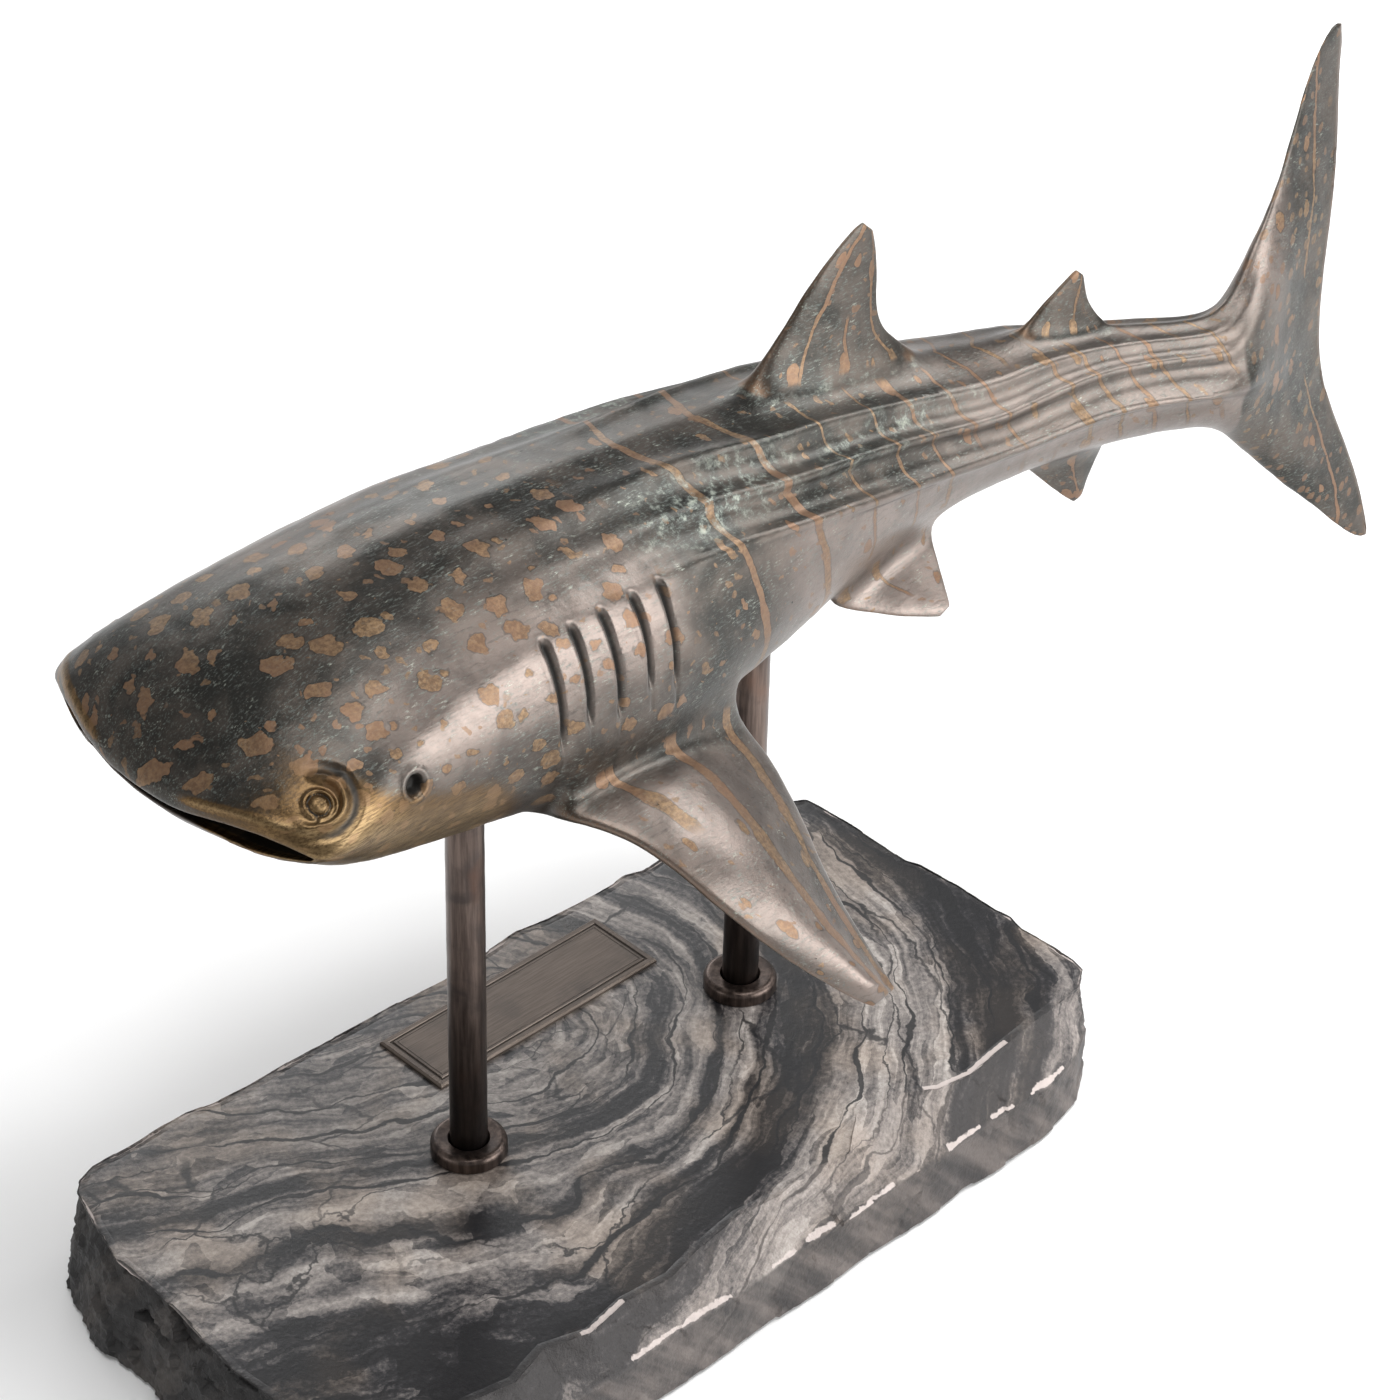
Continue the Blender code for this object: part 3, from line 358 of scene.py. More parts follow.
def build_shark_cage():
    """One closed quad cage of the cast shark, with fin coordinates kept on its vertices."""
    cage = bmesh.new()
    layers = {name: cage.verts.layers.float.new(name) for name in FIN_FIELDS}

    def tag(vert, *values):
        for layer, value in zip(layers.values(), values):
            vert[layer] = value

    def bridge(first, second, skipped=()):
        count = len(first)
        for k in range(count):
            if k not in skipped:
                n = (k + 1) % count
                cage.faces.new((first[k], first[n], second[n], second[k]))

    tube = []
    for station, *shape in reversed(MOUTH):
        points = ring_points((SNOUT, *shape, 2.0, 2.0), setback=0.30, relief=False)
        for point in points:
            point.x += station - SNOUT
        tube.append([cage.verts.new(point) for point in points])
    offset = len(tube)
    for index, row in enumerate(BODY):
        setback = (0.30, 0.36, 0.34, 0.22, 0.10)[index] if index < 5 else 0.0
        tube.append([cage.verts.new(point) for point in ring_points(row, setback)])
    back = tube[0]
    for j in range(5):
        cage.faces.new((back[j], back[j + 1], back[10 - j], back[11 - j]))
        cage.faces.new((back[-j], back[COLUMNS - j - 1], back[12 + j], back[11 + j]))

    # each fin grows from a hole in the body: first and last station, column, sections, kind
    holes = [set() for _ in tube]
    stations = [row[0] for row in BODY]
    fins = []
    for first, last, column, sections, kind in (
            (4.20, 10.20, 0, FIRST_DORSAL, 1.0), (13.40, 16.40, 0, SECOND_DORSAL, 2.0),
            (13.40, 16.40, 11, ANAL, 3.0), (5.70, 10.20, 9, PELVIC, 4.0), (-5.60, 0.40, 9, PECTORAL, 5.0),
            (5.70, 10.20, 13, mirrored(PELVIC, (0.5, 0.7)), 4.0),
            (-5.60, 0.40, 13, mirrored(PECTORAL), 5.0)):
        a = stations.index(first) + offset
        b = stations.index(last) + offset
        for i in range(a, b):
            holes[i] |= {(column - 1) % COLUMNS, column}
        side_a = [tube[i][column + 1] for i in range(a, b + 1)]
        side_b = [tube[i][column - 1] for i in range(a, b + 1)]
        fins.append(([tube[a][column]] + side_a + [tube[b][column]] + side_b[::-1], sections, kind))
    for ring, following, skipped in zip(tube, tube[1:], holes):
        bridge(ring, following, skipped)

    # tail fin
    previous = tube[-1]
    for vert in previous:
        tag(vert, 0.0, TAIL, 0.0, vert.co.z, TAIL_REACH)
    rows, trailing = tail_rows([v.co.copy() for v in previous])
    for step, row in enumerate(rows):
        verts = [cage.verts.new(point) for point in row]
        for vert in verts:
            tag(vert, 1.0, TAIL, (step + 1) / TAIL_ROWS, vert.co.z, TAIL_REACH)
        bridge(previous, verts)
        previous = verts
    edge = [cage.verts.new(point) for point in trailing]
    for vert in edge:
        tag(vert, 1.0, TAIL, 1.0, vert.co.z, TAIL_REACH)
    for c in range(HALF):
        cage.faces.new((previous[c], previous[c + 1], edge[c + 1], edge[c]))
        cage.faces.new((previous[-c], previous[COLUMNS - c - 1], edge[c + 1], edge[c]))

    for root, sections, kind in fins:
        count = (len(root) - 2) // 2
        one = slice(1, 1 + count)
        other = slice(2 + count, None)
        centre = sum((v.co for v in root), Vector()) / len(root)
        side_root = sum((v.co for v in root[one]), Vector()) / count
        lead_root = Vector(sections[0][0])
        chord_root = Vector(sections[0][1]) - lead_root
        for vert in root:
            across = (vert.co - lead_root).dot(chord_root) / chord_root.length_squared
            tag(vert, 0.0, kind, across, 0.0, chord_root.length)
        ring = root
        span = 0.0
        last_middle = None
        for loop, section in zip(fin_loops(count, sections), sections):
            lead = Vector(section[0])
            chord = Vector(section[1]) - lead
            middle = lead + chord / 2
            span += (middle - last_middle).length if last_middle else 0.4
            last_middle = middle
            across = sum(loop[one], Vector()) / count - sum(loop[other], Vector()) / count
            if across.dot(side_root - centre) < 0:
                loop = [loop[0]] + loop[other][::-1] + [loop[1 + count]] + loop[one][::-1]
            verts = [cage.verts.new(point) for point in loop]
            for vert in verts:
                across = (vert.co - lead).dot(chord) / chord.length_squared
                tag(vert, 1.0, kind, across, span, chord.length)
            bridge(ring, verts)
            ring = verts
        side_a = ring[one]
        side_b = ring[other][::-1]
        middle = []
        for a, b in zip(side_a, side_b):
            vert = cage.verts.new((a.co + b.co) / 2)
            tag(vert, 1.0, kind, a[layers["chord"]], span, a[layers["reach"]])
            middle.append(vert)
        for k in range(count - 1):
            cage.faces.new((side_a[k], side_a[k + 1], middle[k + 1], middle[k]))
            cage.faces.new((middle[k], middle[k + 1], side_b[k + 1], side_b[k]))
        cage.faces.new((ring[0], side_a[0], middle[0], side_b[0]))
        cage.faces.new((ring[1 + count], side_b[-1], middle[-1], side_a[-1]))
    bmesh.ops.recalc_face_normals(cage, faces=cage.faces)
    if cage.calc_volume(signed=True) < 0:
        bmesh.ops.reverse_faces(cage, faces=cage.faces)

    # the flank ridges and the keel keep a tighter line than the rest
    crease = cage.edges.layers.float.get("crease_edge") or cage.edges.layers.float.new("crease_edge")

    def sharpen(a, b, value):
        shared = cage.edges.get((a, b))
        if shared:
            shared[crease] = value

    for ring, following in zip(tube[offset + 7:], tube[offset + 8:]):
        for c, value in ((2, 0.5), (4, 0.75), (6, 1.0)):
            for column in (c, COLUMNS - c):
                sharpen(ring[column], following[column], value * share((ring[column].co.x + 3.5) / 5.0))
    for a, b in zip(edge, edge[1:]):
        sharpen(a, b, 0.7)
    for vert in cage.verts:
        vert.co = to_metres(vert.co)
    return cage


def to_metres(point):
    return Vector((point.x * POST_DIAMETER, point.y * POST_DIAMETER, SLAB_TOP + point.z * POST_DIAMETER))


def body_row(station):
    return [station] + smooth_row(BODY, station)


# slab top outline in millimetres, anticlockwise from the near right corner
SLAB_OUTLINE = [
    (158.8, -76.7), (160.5, -70.5), (160.9, -61.4), (160.0, -46.5), (162.0, -38.8), (161.2, -31.6),
    (161.5, -13.3), (160.4, 4.0), (158.4, 9.2), (159.3, 36.0), (158.8, 54.6), (158.1, 60.3),
    (151.4, 64.5), (131.0, 67.0), (112.0, 69.0), (93.4, 71.3), (83.4, 70.2), (76.4, 72.9),
    (67.7, 72.0), (50.7, 72.4), (37.6, 73.3), (25.8, 75.5), (12.5, 74.2), (-10.8, 72.5),
    (-32.0, 74.0), (-52.7, 74.5), (-77.8, 75.3), (-96.0, 75.0), (-109.8, 75.9), (-120.3, 78.3),
    (-131.4, 78.6), (-146.0, 78.0), (-159.9, 78.5), (-167.0, 76.0), (-171.6, 71.9), (-176.9, 54.7),
    (-181.6, 37.5), (-181.0, 22.0), (-181.8, 7.8), (-184.4, -15.2), (-185.6, -27.2), (-184.0, -44.0),
    (-186.0, -60.0), (-182.0, -76.0), (-174.0, -86.0), (-160.0, -90.0), (-142.0, -87.0),
    (-124.0, -90.5), (-108.0, -86.0), (-92.3, -91.0), (-75.0, -88.0), (-56.0, -90.0),
    (-40.0, -86.5), (-20.0, -84.0), (-4.0, -86.5), (12.0, -84.0), (28.0, -88.0), (44.0, -76.0),
    (60.0, -77.0), (74.0, -85.5), (88.0, -88.0), (104.0, -86.0), (120.0, -84.5), (136.0, -83.5),
    (150.0, -82.5),
]


# helpers on many points at once

STEPS = np.linspace(SNOUT, STERN, 1400)
BODY_GRID = np.array([smooth_row(BODY, s) for s in STEPS])
RIDGE_GRID = np.array([smooth_row(RIDGES, s) for s in STEPS])


def look_up(grid, column, at):
    return np.interp(at, STEPS, grid[:, column])


def ease(low, high, value):
    t = np.clip((value - low) / (high - low), 0.0, 1.0)
    return t * t * (3 - 2 * t)


def bump(value, width):
    return np.exp(-(value / width) ** 2)


def choose(value, *cases):
    """The value, replaced in turn wherever a case holds."""
    for holds, other in cases:
        value = np.where(holds, other, value)
    return value


def greatest(*values):
    return np.maximum.reduce(values)


def in_diameters(points):
    """Places in metres as post diameters over the slab's top."""
    local = points.copy()
    local[:, 2] -= SLAB_TOP
    local /= POST_DIAMETER
    return local


def waves(points, scale, seed, octaves=4):
    """Smooth random relief, about -1 to 1, at many points."""
    shift = Vector((seed * 7.31, seed * 3.17, seed * 5.71))
    return np.array([noise.fractal(Vector(point) * scale + shift, 1.0, 2.0, octaves) for point in points])


def body_coordinates(points):
    """Station, angle from the back's mid line and side of points near the body."""
    x, y, z = points.T
    station = x.copy()
    for _ in range(24):
        offset, slope = sweep(station)
        across = (y - offset) * np.hypot(1.0, slope)
        half = look_up(BODY_GRID, 4, station)
        bow = look_up(BODY_GRID, 0, station)
        goal = x + slope * (y - offset) - bow * np.clip(np.abs(across) / half, 0, 1.2) ** 2
        station = np.clip(0.5 * station + 0.5 * goal, SNOUT, STERN)
    up = z - look_up(BODY_GRID, 1, station)
    reach = np.where(up >= 0, look_up(BODY_GRID, 2, station), look_up(BODY_GRID, 3, station))
    full = np.where(up >= 0, look_up(BODY_GRID, 5, station), look_up(BODY_GRID, 6, station)) / 2
    wide = (np.abs(across) / half) ** full
    high = (np.abs(up) / reach) ** full
    angle = np.degrees(np.arctan2(wide, high))
    angle = np.where(up >= 0, angle, 180.0 - angle)
    radius = np.sqrt((half ** 2 + reach ** 2) / 2)
    return station, angle, np.sign(across), np.radians(angle) * radius, across


def take_field(mesh, name):
    """Values of one of the mesh's fields, which is then removed from it."""
    layer = mesh.attributes[name]
    found = np.empty(len(mesh.vertices), dtype=np.float32)
    layer.data.foreach_get("value", found)
    mesh.attributes.remove(layer)
    return found.astype(float)


def set_fields(mesh, **fields):
    for name, values in fields.items():
        layer = mesh.attributes.new(name, "FLOAT", "POINT")
        layer.data.foreach_set("value", np.asarray(values, dtype=np.float32))


def read_vectors(mesh, name):
    found = np.empty(len(mesh.vertices) * 3, dtype=np.float32)
    mesh.vertices.foreach_get(name, found)
    return found.reshape(-1, 3).astype(float)


def set_points(mesh, points):
    mesh.vertices.foreach_set("co", np.asarray(points, dtype=np.float32).ravel())
    mesh.update()


def linked(name, mesh, material, smooth=True):
    made = bpy.data.objects.new(name, mesh)
    bpy.context.scene.collection.objects.link(made)
    made.data.materials.append(material)
    made.data.polygons.foreach_set("use_smooth", [smooth] * len(mesh.polygons))
    return made


def from_bmesh(name, source, material, smooth=True):
    mesh = bpy.data.meshes.new(name)
    source.to_mesh(mesh)
    source.free()
    return linked(name, mesh, material, smooth)


def baked(made):
    """The object's mesh with its modifiers applied."""
    graph = bpy.context.evaluated_depsgraph_get()
    mesh = bpy.data.meshes.new_from_object(made.evaluated_get(graph), depsgraph=graph)
    old = made.data
    made.modifiers.clear()
    made.data = mesh
    bpy.data.meshes.remove(old)
    return mesh


# cast shark

STRIPE_STATIONS = (-0.15, 2.50, 4.75, 6.65, 8.0, 9.5, 10.8, 12.0, 13.2, 14.3, 15.4, 16.5, 17.6, 18.7, 19.8)
STRIPE_LEAN = ((0, 20, 45, 60, 80, 102, 140, 180), (0.0, 0.50, 0.65, 0.95, 1.30, 1.60, 1.90, 2.0))
BRASS_LINE = ((-15.2, -14.5, -14.1, -13.4, -12.7, -11.9, -11.3, -9.5, -7.9, -6.8, -5.5),
              (16.90, 17.02, 17.22, 17.72, 18.20, 18.05, 17.50, 16.62, 16.1, 15.4, 14.0))


def detail_limit(middles, features):
    """Longest edge wanted at each place: short near small forms, long inside the mouth."""
    x, y, z = in_diameters(middles).T
    limit = choose(0.0024, ((x < -11.5) & (np.abs(y) < 6), 0.0019))
    for centre, reach, wanted in features:
        near = np.linalg.norm(middles - np.array(centre), axis=1) < reach
        limit = np.where(near, np.minimum(limit, wanted), limit)
    pocket = (np.abs(z - 16.55) < 0.26) & (x > -14.5) & (x < -12.4) & (np.abs(y) < 4.2)
    return np.where(pocket, 0.0050, limit)


def refine(mesh, features, surface, passes=4):
    """Splits long edges where detail needs them, and sets the new vertices on the true surface."""
    work = bmesh.new()
    work.from_mesh(mesh)
    for _ in range(passes):
        edges = list(work.edges)
        ends = np.array([(*e.verts[0].co, *e.verts[1].co) for e in edges])
        spans = np.linalg.norm(ends[:, :3] - ends[:, 3:], axis=1)
        limit = detail_limit((ends[:, :3] + ends[:, 3:]) / 2, features)
        chosen = [edges[k] for k in np.nonzero(spans > limit)[0]]
        if not chosen:
            break
        first_new = len(work.verts)
        bmesh.ops.subdivide_edges(work, edges=chosen, cuts=1, use_grid_fill=True)
        work.verts.ensure_lookup_table()
        for vert in work.verts[first_new:]:
            found = surface.find_nearest(vert.co, 0.002)
            if found[0]:
                vert.co = found[0]
        uneven = [face for face in work.faces if len(face.verts) > 4]
        bmesh.ops.triangulate(work, faces=uneven, ngon_method="BEAUTY")
    work.to_mesh(mesh)
    work.free()
    mesh.update()


def side_of(value, side):
    return Vector((value[0], -value[1] * side, value[2]))


def gill_points(k, side):
    angles = (GILL_TOP - 2 + (GILL_BOTTOM[k] + 8 - GILL_TOP) * step / 13 for step in range(14))
    return [to_metres(section_point(body_row(GILL_STATIONS[k]), angle, 0.0, side)) for angle in angles]


# the eye on the far side sits a little lower, out of the camera's sight
FAR_EYE = (-12.00, -4.95, 16.95)
FAR_FACING = (-0.20, -0.94, 0.20)


def eye_place(side):
    return EYE if side < 0 else FAR_EYE


# radius of the socket's rim, and how much of the lid there is, by the angle round the eye
SOCKET = ((-180, -150, -120, -70, -30, 20, 60, 180), (0.66, 0.60, 0.47, 0.50, 0.58, 0.66, 0.66, 0.66))
LID = ((-180, -165, -140, -100, 0, 35, 60, 85, 180), (0.0, 0.1, 0.45, 0.85, 1.0, 1.0, 0.5, 0.0, 0.0))


def pushed(lift, shade, near, facing):
    """Moves in metres along the facing, and shades, both only for the points near a feature."""
    lift = np.where(near, lift, 0.0)[:, None] * np.array(facing)[None, :] * POST_DIAMETER
    return lift, np.where(near, shade, 0.0)


def eye_relief(points, side):
    """Ringed dome in an oval socket with a raised lid behind it."""
    centre = np.array(to_metres(side_of(eye_place(side), side)))
    facing = side_of(EYE_FACING if side < 0 else FAR_FACING, side).normalized()
    along = (Vector((1.0, 0.0, 0.0)) - facing * facing.x).normalized()
    up = facing.cross(along) * (1.0 if side < 0 else -1.0)
    if up.z < 0:
        up = -up
    local = (points - centre) / POST_DIAMETER
    a, b, depth = (local @ np.array(axis) for axis in (along, up, facing))
    r = np.hypot(a, b)
    turn = np.degrees(np.arctan2(b, a))
    around = np.interp(turn, *LID)
    beyond = r - np.interp(turn, *SOCKET)
    lid = bump(beyond, np.where(beyond < 0, 0.10, 0.075)) * around
    trough = bump(beyond - 0.22, 0.12) * around
    outer = bump(beyond - 0.42, 0.07) * around
    knob = bump(np.hypot(a - 0.74, b - 0.27), 0.10)
    dome = np.where(r < 0.235, 0.13 * np.sqrt(np.clip(1 - (r / 0.235) ** 2, 0, 1)), 0.0)
    notch = ease(16.0, 6.0, np.abs(turn + 132.0))
    ring = 0.085 * bump(r - 0.325, 0.050) * (1.0 - 0.8 * notch)
    groove = bump(r - 0.25, 0.026)
    lift = dome + ring - 0.045 * groove + 0.20 * lid - 0.07 * trough + 0.02 * outer + 0.15 * knob
    lift -= 0.05 * ease(0.56, 0.42, r) * around
    lift *= 1.0 if side < 0 else 0.5
    # dark in the groove, the trough and the notch and inside the socket's rim: patina and painted shade
    dark = 0.95 * groove + 0.80 * trough + 0.5 * notch * bump(r - 0.33, 0.07)
    dark += 0.25 * ease(0.37, 0.43, r) * (beyond < -0.12)
    return pushed(lift, dark, (np.abs(depth) < 0.9) & (r < 1.6), facing)


def spiracle_relief(points, side):
    centre = np.array(to_metres(side_of(SPIRACLE, side)))
    facing = np.array(side_of(SPIRACLE_FACING, side).normalized())
    local = (points - centre) / POST_DIAMETER
    depth = local @ facing
    r = np.linalg.norm(local - depth[:, None] * facing[None, :], axis=1)
    lift = -0.30 * ease(0.30, 0.12, r) + 0.05 * bump(r - 0.38, 0.09)
    # the pit is dark: painted shade
    return pushed(lift, ease(0.30, 0.18, r), (np.abs(depth) < 0.6) & (r < 1.0), facing)


def build_shark(material):
    made = from_bmesh("cast_shark", build_shark_cage(), material)
    level = made.modifiers.new("cast_surface", "SUBSURF")
    level.levels = 4
    surface = BVHTree.FromObject(made, bpy.context.evaluated_depsgraph_get())
    level.levels = 2
    level.render_levels = 2
    mesh = baked(made)
    features = []
    for side in (-1.0, 1.0):
        features.append((to_metres(side_of(eye_place(side), side)), 0.0140, 0.00066 if side < 0 else 0.0009))
        features.append((to_metres(side_of(SPIRACLE, side)), 0.0060, 0.00062))
        for k in range(5):
            features += [(point, 0.0042, 0.00080) for point in gill_points(k, side)]
    refine(mesh, features, surface)

    points = read_vectors(mesh, "co")
    normals = read_vectors(mesh, "normal")
    local = in_diameters(points)
    x, y, z = local.T
    wide = np.abs(y)
    fin, kind, chord, span, reach = (take_field(mesh, name) for name in FIN_FIELDS)
    kind = np.round(kind)
    plain = fin < 0.4
    on_fin = fin > 0.4
    first_dorsal, _, _, pelvic, pectoral, tail = (on_fin & (kind == k) for k in range(1, 7))
    station, angle, side, arc, across = body_coordinates(local)
    ridges = [look_up(RIDGE_GRID, column, station) for column in range(3)]
    body = ease(0.45, 0.05, fin)
    lip_bow = 1.1 * (across / 4.9) ** 2
    inside = (x > -14.4 + lip_bow) & (np.abs(z - 16.62) < 0.30) & (wide < 4.45) & (x < -12.4)

    # gill slits with the swelling between them
    gill = np.zeros(len(points))
    lift = np.zeros(len(points))
    from_lowest = angle - ridges[2]
    for bottom, at in zip(GILL_BOTTOM, GILL_STATIONS):
        curve = at + 0.10 * np.sin(np.pi * np.clip((angle - GILL_TOP) / (bottom - GILL_TOP), 0, 1))
        away = station - curve
        low = ease(bottom + 5.0, bottom - 8.0, angle)
        cut = bump(away, 0.105) * ease(-1.5, 3.5, from_lowest) * low
        crease = bump(away, 0.06) * (ease(118.0, 100.0, angle) * ease(80.0, 95.0, angle)) * 0.30
        soft_top = ease(-2.0, 14.0, from_lowest)
        lift += (-0.21 * cut - 0.08 * crease + 0.04 * bump(away + 0.24, 0.13) * soft_top * low
                 - 0.03 * bump(away - 0.24, 0.13) * soft_top * low) * body
        # the slits also go into the dark field: black patina and painted shade
        gill = np.maximum(gill, np.maximum(cut, crease) * body)

    # ridges along the flank: rounded on top, with a crisp step under the lower two
    run = ease(-5.0, 2.5, station) * body
    radius = np.maximum(arc / np.maximum(np.radians(angle), 1e-3), 1.0)
    edge_line = np.zeros(len(points))
    for ridge, (strength, step, begin, whole) in zip(
            ridges, ((0.07, 0.00, -4.0, 3.0), (0.09, 0.07, -4.0, 3.0), (0.10, 0.06, -1.5, 4.0))):
        away = np.radians(angle - ridge) * radius
        start = ease(begin, whole, station)
        relief = strength * bump(away, 0.20) - step * bump(away - 0.22, 0.09)
        lift += relief * run * start * np.interp(station, (6.0, 11.0, 16.0), (1.0, 0.5, 0.25))
        # a dark line under each step, painted shade
        if step:
            edge_line = np.maximum(edge_line, bump(away - 0.20, 0.07) * run * start)
    hollow = np.zeros(len(points))
    for a, b in zip(ridges, ridges[1:]):
        t = np.clip((angle - a) / (b - a), 0, 1)
        hollow = np.maximum(hollow, np.sin(np.pi * t) * run * ease(0.0, 5.0, station))
    lift -= 0.10 * hollow * np.interp(station, (6.0, 16.0), (1.0, 0.3))
    # the upper face of each pectoral is full, so that light runs along its middle
    full = bump(chord - 0.36, 0.26) * ease(0.2, 1.6, span) * ease(10.5, 8.0, span)
    lift += 0.20 * full * pectoral * ease(0.1, 0.5, normals[:, 2])
    lift += (0.030 * waves(local, 0.55, 3.0, 3) + 0.007 * waves(local, 2.1, 5.0, 3)) * ~inside

    # the lower lip drops open towards the corner of the mouth
    upper = z > 16.60
    jaw = ((angle > 90) & (station < -12.2) | inside) & ~upper
    open_jaw = 0.10 * bump(wide - 3.35, 1.10) * ease(-11.9, -13.0, x) * jaw
    open_jaw *= np.where(inside, 1.0, ease(125.0, 92.0, angle))
    raised = bump(wide - 3.20, 1.25) * ease(-12.2, -13.2, x) * ease(18.2, 16.9, z)
    open_jaw -= 0.21 * raised * upper * ease(4.75, 4.1, wide)

    # rolled upper lip with a fine line above it
    above = z - np.interp(station, (-15.0, -14.1, -13.0, -12.0), (16.98, 16.98, 16.92, 16.8))
    lip = (angle < 95) & (station < -11.0) & ~inside
    rim = bump(above - 0.16, 0.10) * ease(-12.6, -13.4, x) * lip * ease(0.8, 1.8, wide)
    lift += 0.05 * rim
    moved = points + normals * (lift * POST_DIAMETER)[:, None]
    moved[:, 2] -= open_jaw * POST_DIAMETER
    dark = np.clip(gill, 0, 1)
    for s in (-1.0, 1.0):
        for push, shade in (eye_relief(points, s), spiracle_relief(points, s)):
            moved += push
            dark = np.maximum(dark, np.clip(shade, 0, 1))
    low_box, high_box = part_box("shark")
    set_points(mesh, np.clip(moved, np.array(low_box), np.array(high_box)))

    # stripes and rows of spots follow these: numbers along the body, or along each fin
    step = 0.10 * (ease(0, 4, angle - ridges[0]) - 0.6 * ease(0, 4, angle - ridges[1])
                   + 0.6 * ease(0, 4, from_lowest))
    centre = station - np.interp(angle, *STRIPE_LEAN) - step
    at = (-16.0, *STRIPE_STATIONS)
    numbers = np.arange(len(STRIPE_STATIONS)) + 0.5
    phase = choose(np.interp(centre, at, (-7.0, *numbers)), (on_fin, (chord - 0.06) / 0.32),
                   (tail, chord * 3.0 + 0.1), (pelvic, chord * 3.4 + 0.2))
    gap = choose(np.interp(centre, at, (2.6, 2.6, *np.diff(STRIPE_STATIONS))),
                 (on_fin, np.maximum(reach, 0.6) * 0.32), (tail, 1.4))
    lane = np.where(on_fin, span + np.where(side > 0, 23.37, 0.0), arc * side)
    along = choose(centre, (on_fin, chord * reach + 31.0), (tail, x - 0.35 * z + 31.0))
    quiet = np.where(plain, ease(0.06, 0.20, fin), ease(0.78, 0.60, fin))
    quiet = np.maximum(quiet, ease(122.0, 138.0, angle) * plain)
    single = ease(0.95, 1.05, phase) * ease(2.05, 1.95, phase)
    short = choose(1.0, (pectoral, ease(0.9, 1.1, phase) + ease(3.0, 2.4, span)),
                   (on_fin & (kind > 1) & (kind < 5), single),
                   (tail, ease(1.95, 2.05, phase) * ease(3.05, 2.95, phase)))
    bold = choose(np.interp(phase, (0, 1.6, 2.4), (0.95, 0.95, 0.28)), (on_fin, 0.16), (first_dorsal, 0.34),
                  (pectoral, np.interp(span, (0.0, 1.6, 4.5, 9.0), (1.1, 2.1, 1.5, 0.5))))

    # where the bronze is bare, green or dark; paler where rubbed, and as painted highlight and painted floor
    # reflection
    brass_line = np.interp(x, *BRASS_LINE) - np.where(side > 0, 0.9, 0.0)
    brass = np.clip((brass_line - z + 0.30) / 2.6, 0, 1) * ease(-6.0, -8.6, x)
    brass = np.maximum(brass, 0.55 * rim) * ease(0.9, 2.2, wide) * ease(156.0, 122.0, angle)
    # painted reflection: the flank below the lowest ridge is paler, as if it mirrored the pale floor
    lower = ease(-4.0, 3.0, from_lowest) * ease(1.0, 3.5, station) * plain
    # partly painted highlight: the head's side from the spiracle to the gills is paler
    flank = bump(angle - 62.0, 26.0) * ease(-12.5, -9.5, station)
    flank *= ease(-0.5, -3.0, station) * plain
    tail_face = 0.75 * tail * ease(0.62, 0.35, chord) * ease(16.0, 17.5, z)
    # paler where the bronze is rubbed, as on the pelvics and the stem, and painted highlight on the tail's
    # upper front and along each pectoral's full middle
    worn = greatest(0.85 * lower, 0.9 * flank, tail_face, 0.9 * pelvic,
                    0.40 * ease(7.0, 12.0, station) * plain,
                    (0.45 + 0.5 * full) * ease(0.3, 1.5, span) * pectoral)
    green = greatest(bump(station - 1.2, 3.4) * bump(angle - 36.0, 15.0) * plain,
                     0.7 * bump(station - 8.0, 5.0) * bump(angle - 45.0, 15.0) * plain, 0.6 * gill,
                     0.5 * ease(0.05, 0.3, fin) * ease(0.8, 0.4, fin) * (kind < 3))
    set_fields(mesh, phase=phase, gap=gap, lane=lane, along=along, quiet=quiet,
               front=ease(-0.55, -0.95, phase) * ~on_fin, short=np.clip(short, 0, 1),
               brass=brass, worn=worn, green=green,
               # darker further inside the mouth: painted shade
               dark=np.maximum(dark, inside * ease(0.10, 0.35, x + 14.4 - lip_bow)),
               rim=(ease(0.05, -0.02, chord) + ease(0.96, 1.01, chord)) * on_fin, line=edge_line,
               throat=ease(112.0, 150.0, angle) * plain, bold=np.clip(bold, 0.2, 2.2),
               dense=choose(0.0, (on_fin & (kind < 5), 0.35), (tail, 1.0)))
    return made


# finishes

def srgb(r, g, b):
    found = []
    for value in (r, g, b):
        value /= 255.0
        found.append(value / 12.92 if value <= 0.04045 else ((value + 0.055) / 1.055) ** 2.4)
    return (*found, 1.0)


class Wire:
    """A node's output, which lays down further nodes when it is added, multiplied, stepped or coated."""

    def __init__(self, finish, socket):
        self.finish = finish
        self.socket = socket

    def __add__(self, other):
        return self.finish.math("ADD", self, other)

    def __radd__(self, other):
        return self.finish.math("ADD", other, self)

    def __sub__(self, other):
        return self.finish.math("SUBTRACT", self, other)

    def __rsub__(self, other):
        return self.finish.math("SUBTRACT", other, self)

    def __mul__(self, other):
        return self.finish.math("MULTIPLY", self, other)

    def __truediv__(self, other):
        return self.finish.math("DIVIDE", self, other)

    def __abs__(self):
        return self.finish.math("ABSOLUTE", self)

    def step(self, low, high, to_low=0.0, to_high=1.0):
        """Eased step from one value to another as this one goes from low to high."""
        return self.finish.lay("MapRange", {
            "Value": self, "From Min": low, "From Max": high, "To Min": to_low, "To Max": to_high},
            interpolation_type="SMOOTHSTEP")

    def coat(self, share, colour):
        return self.finish.mix(share, self, colour)


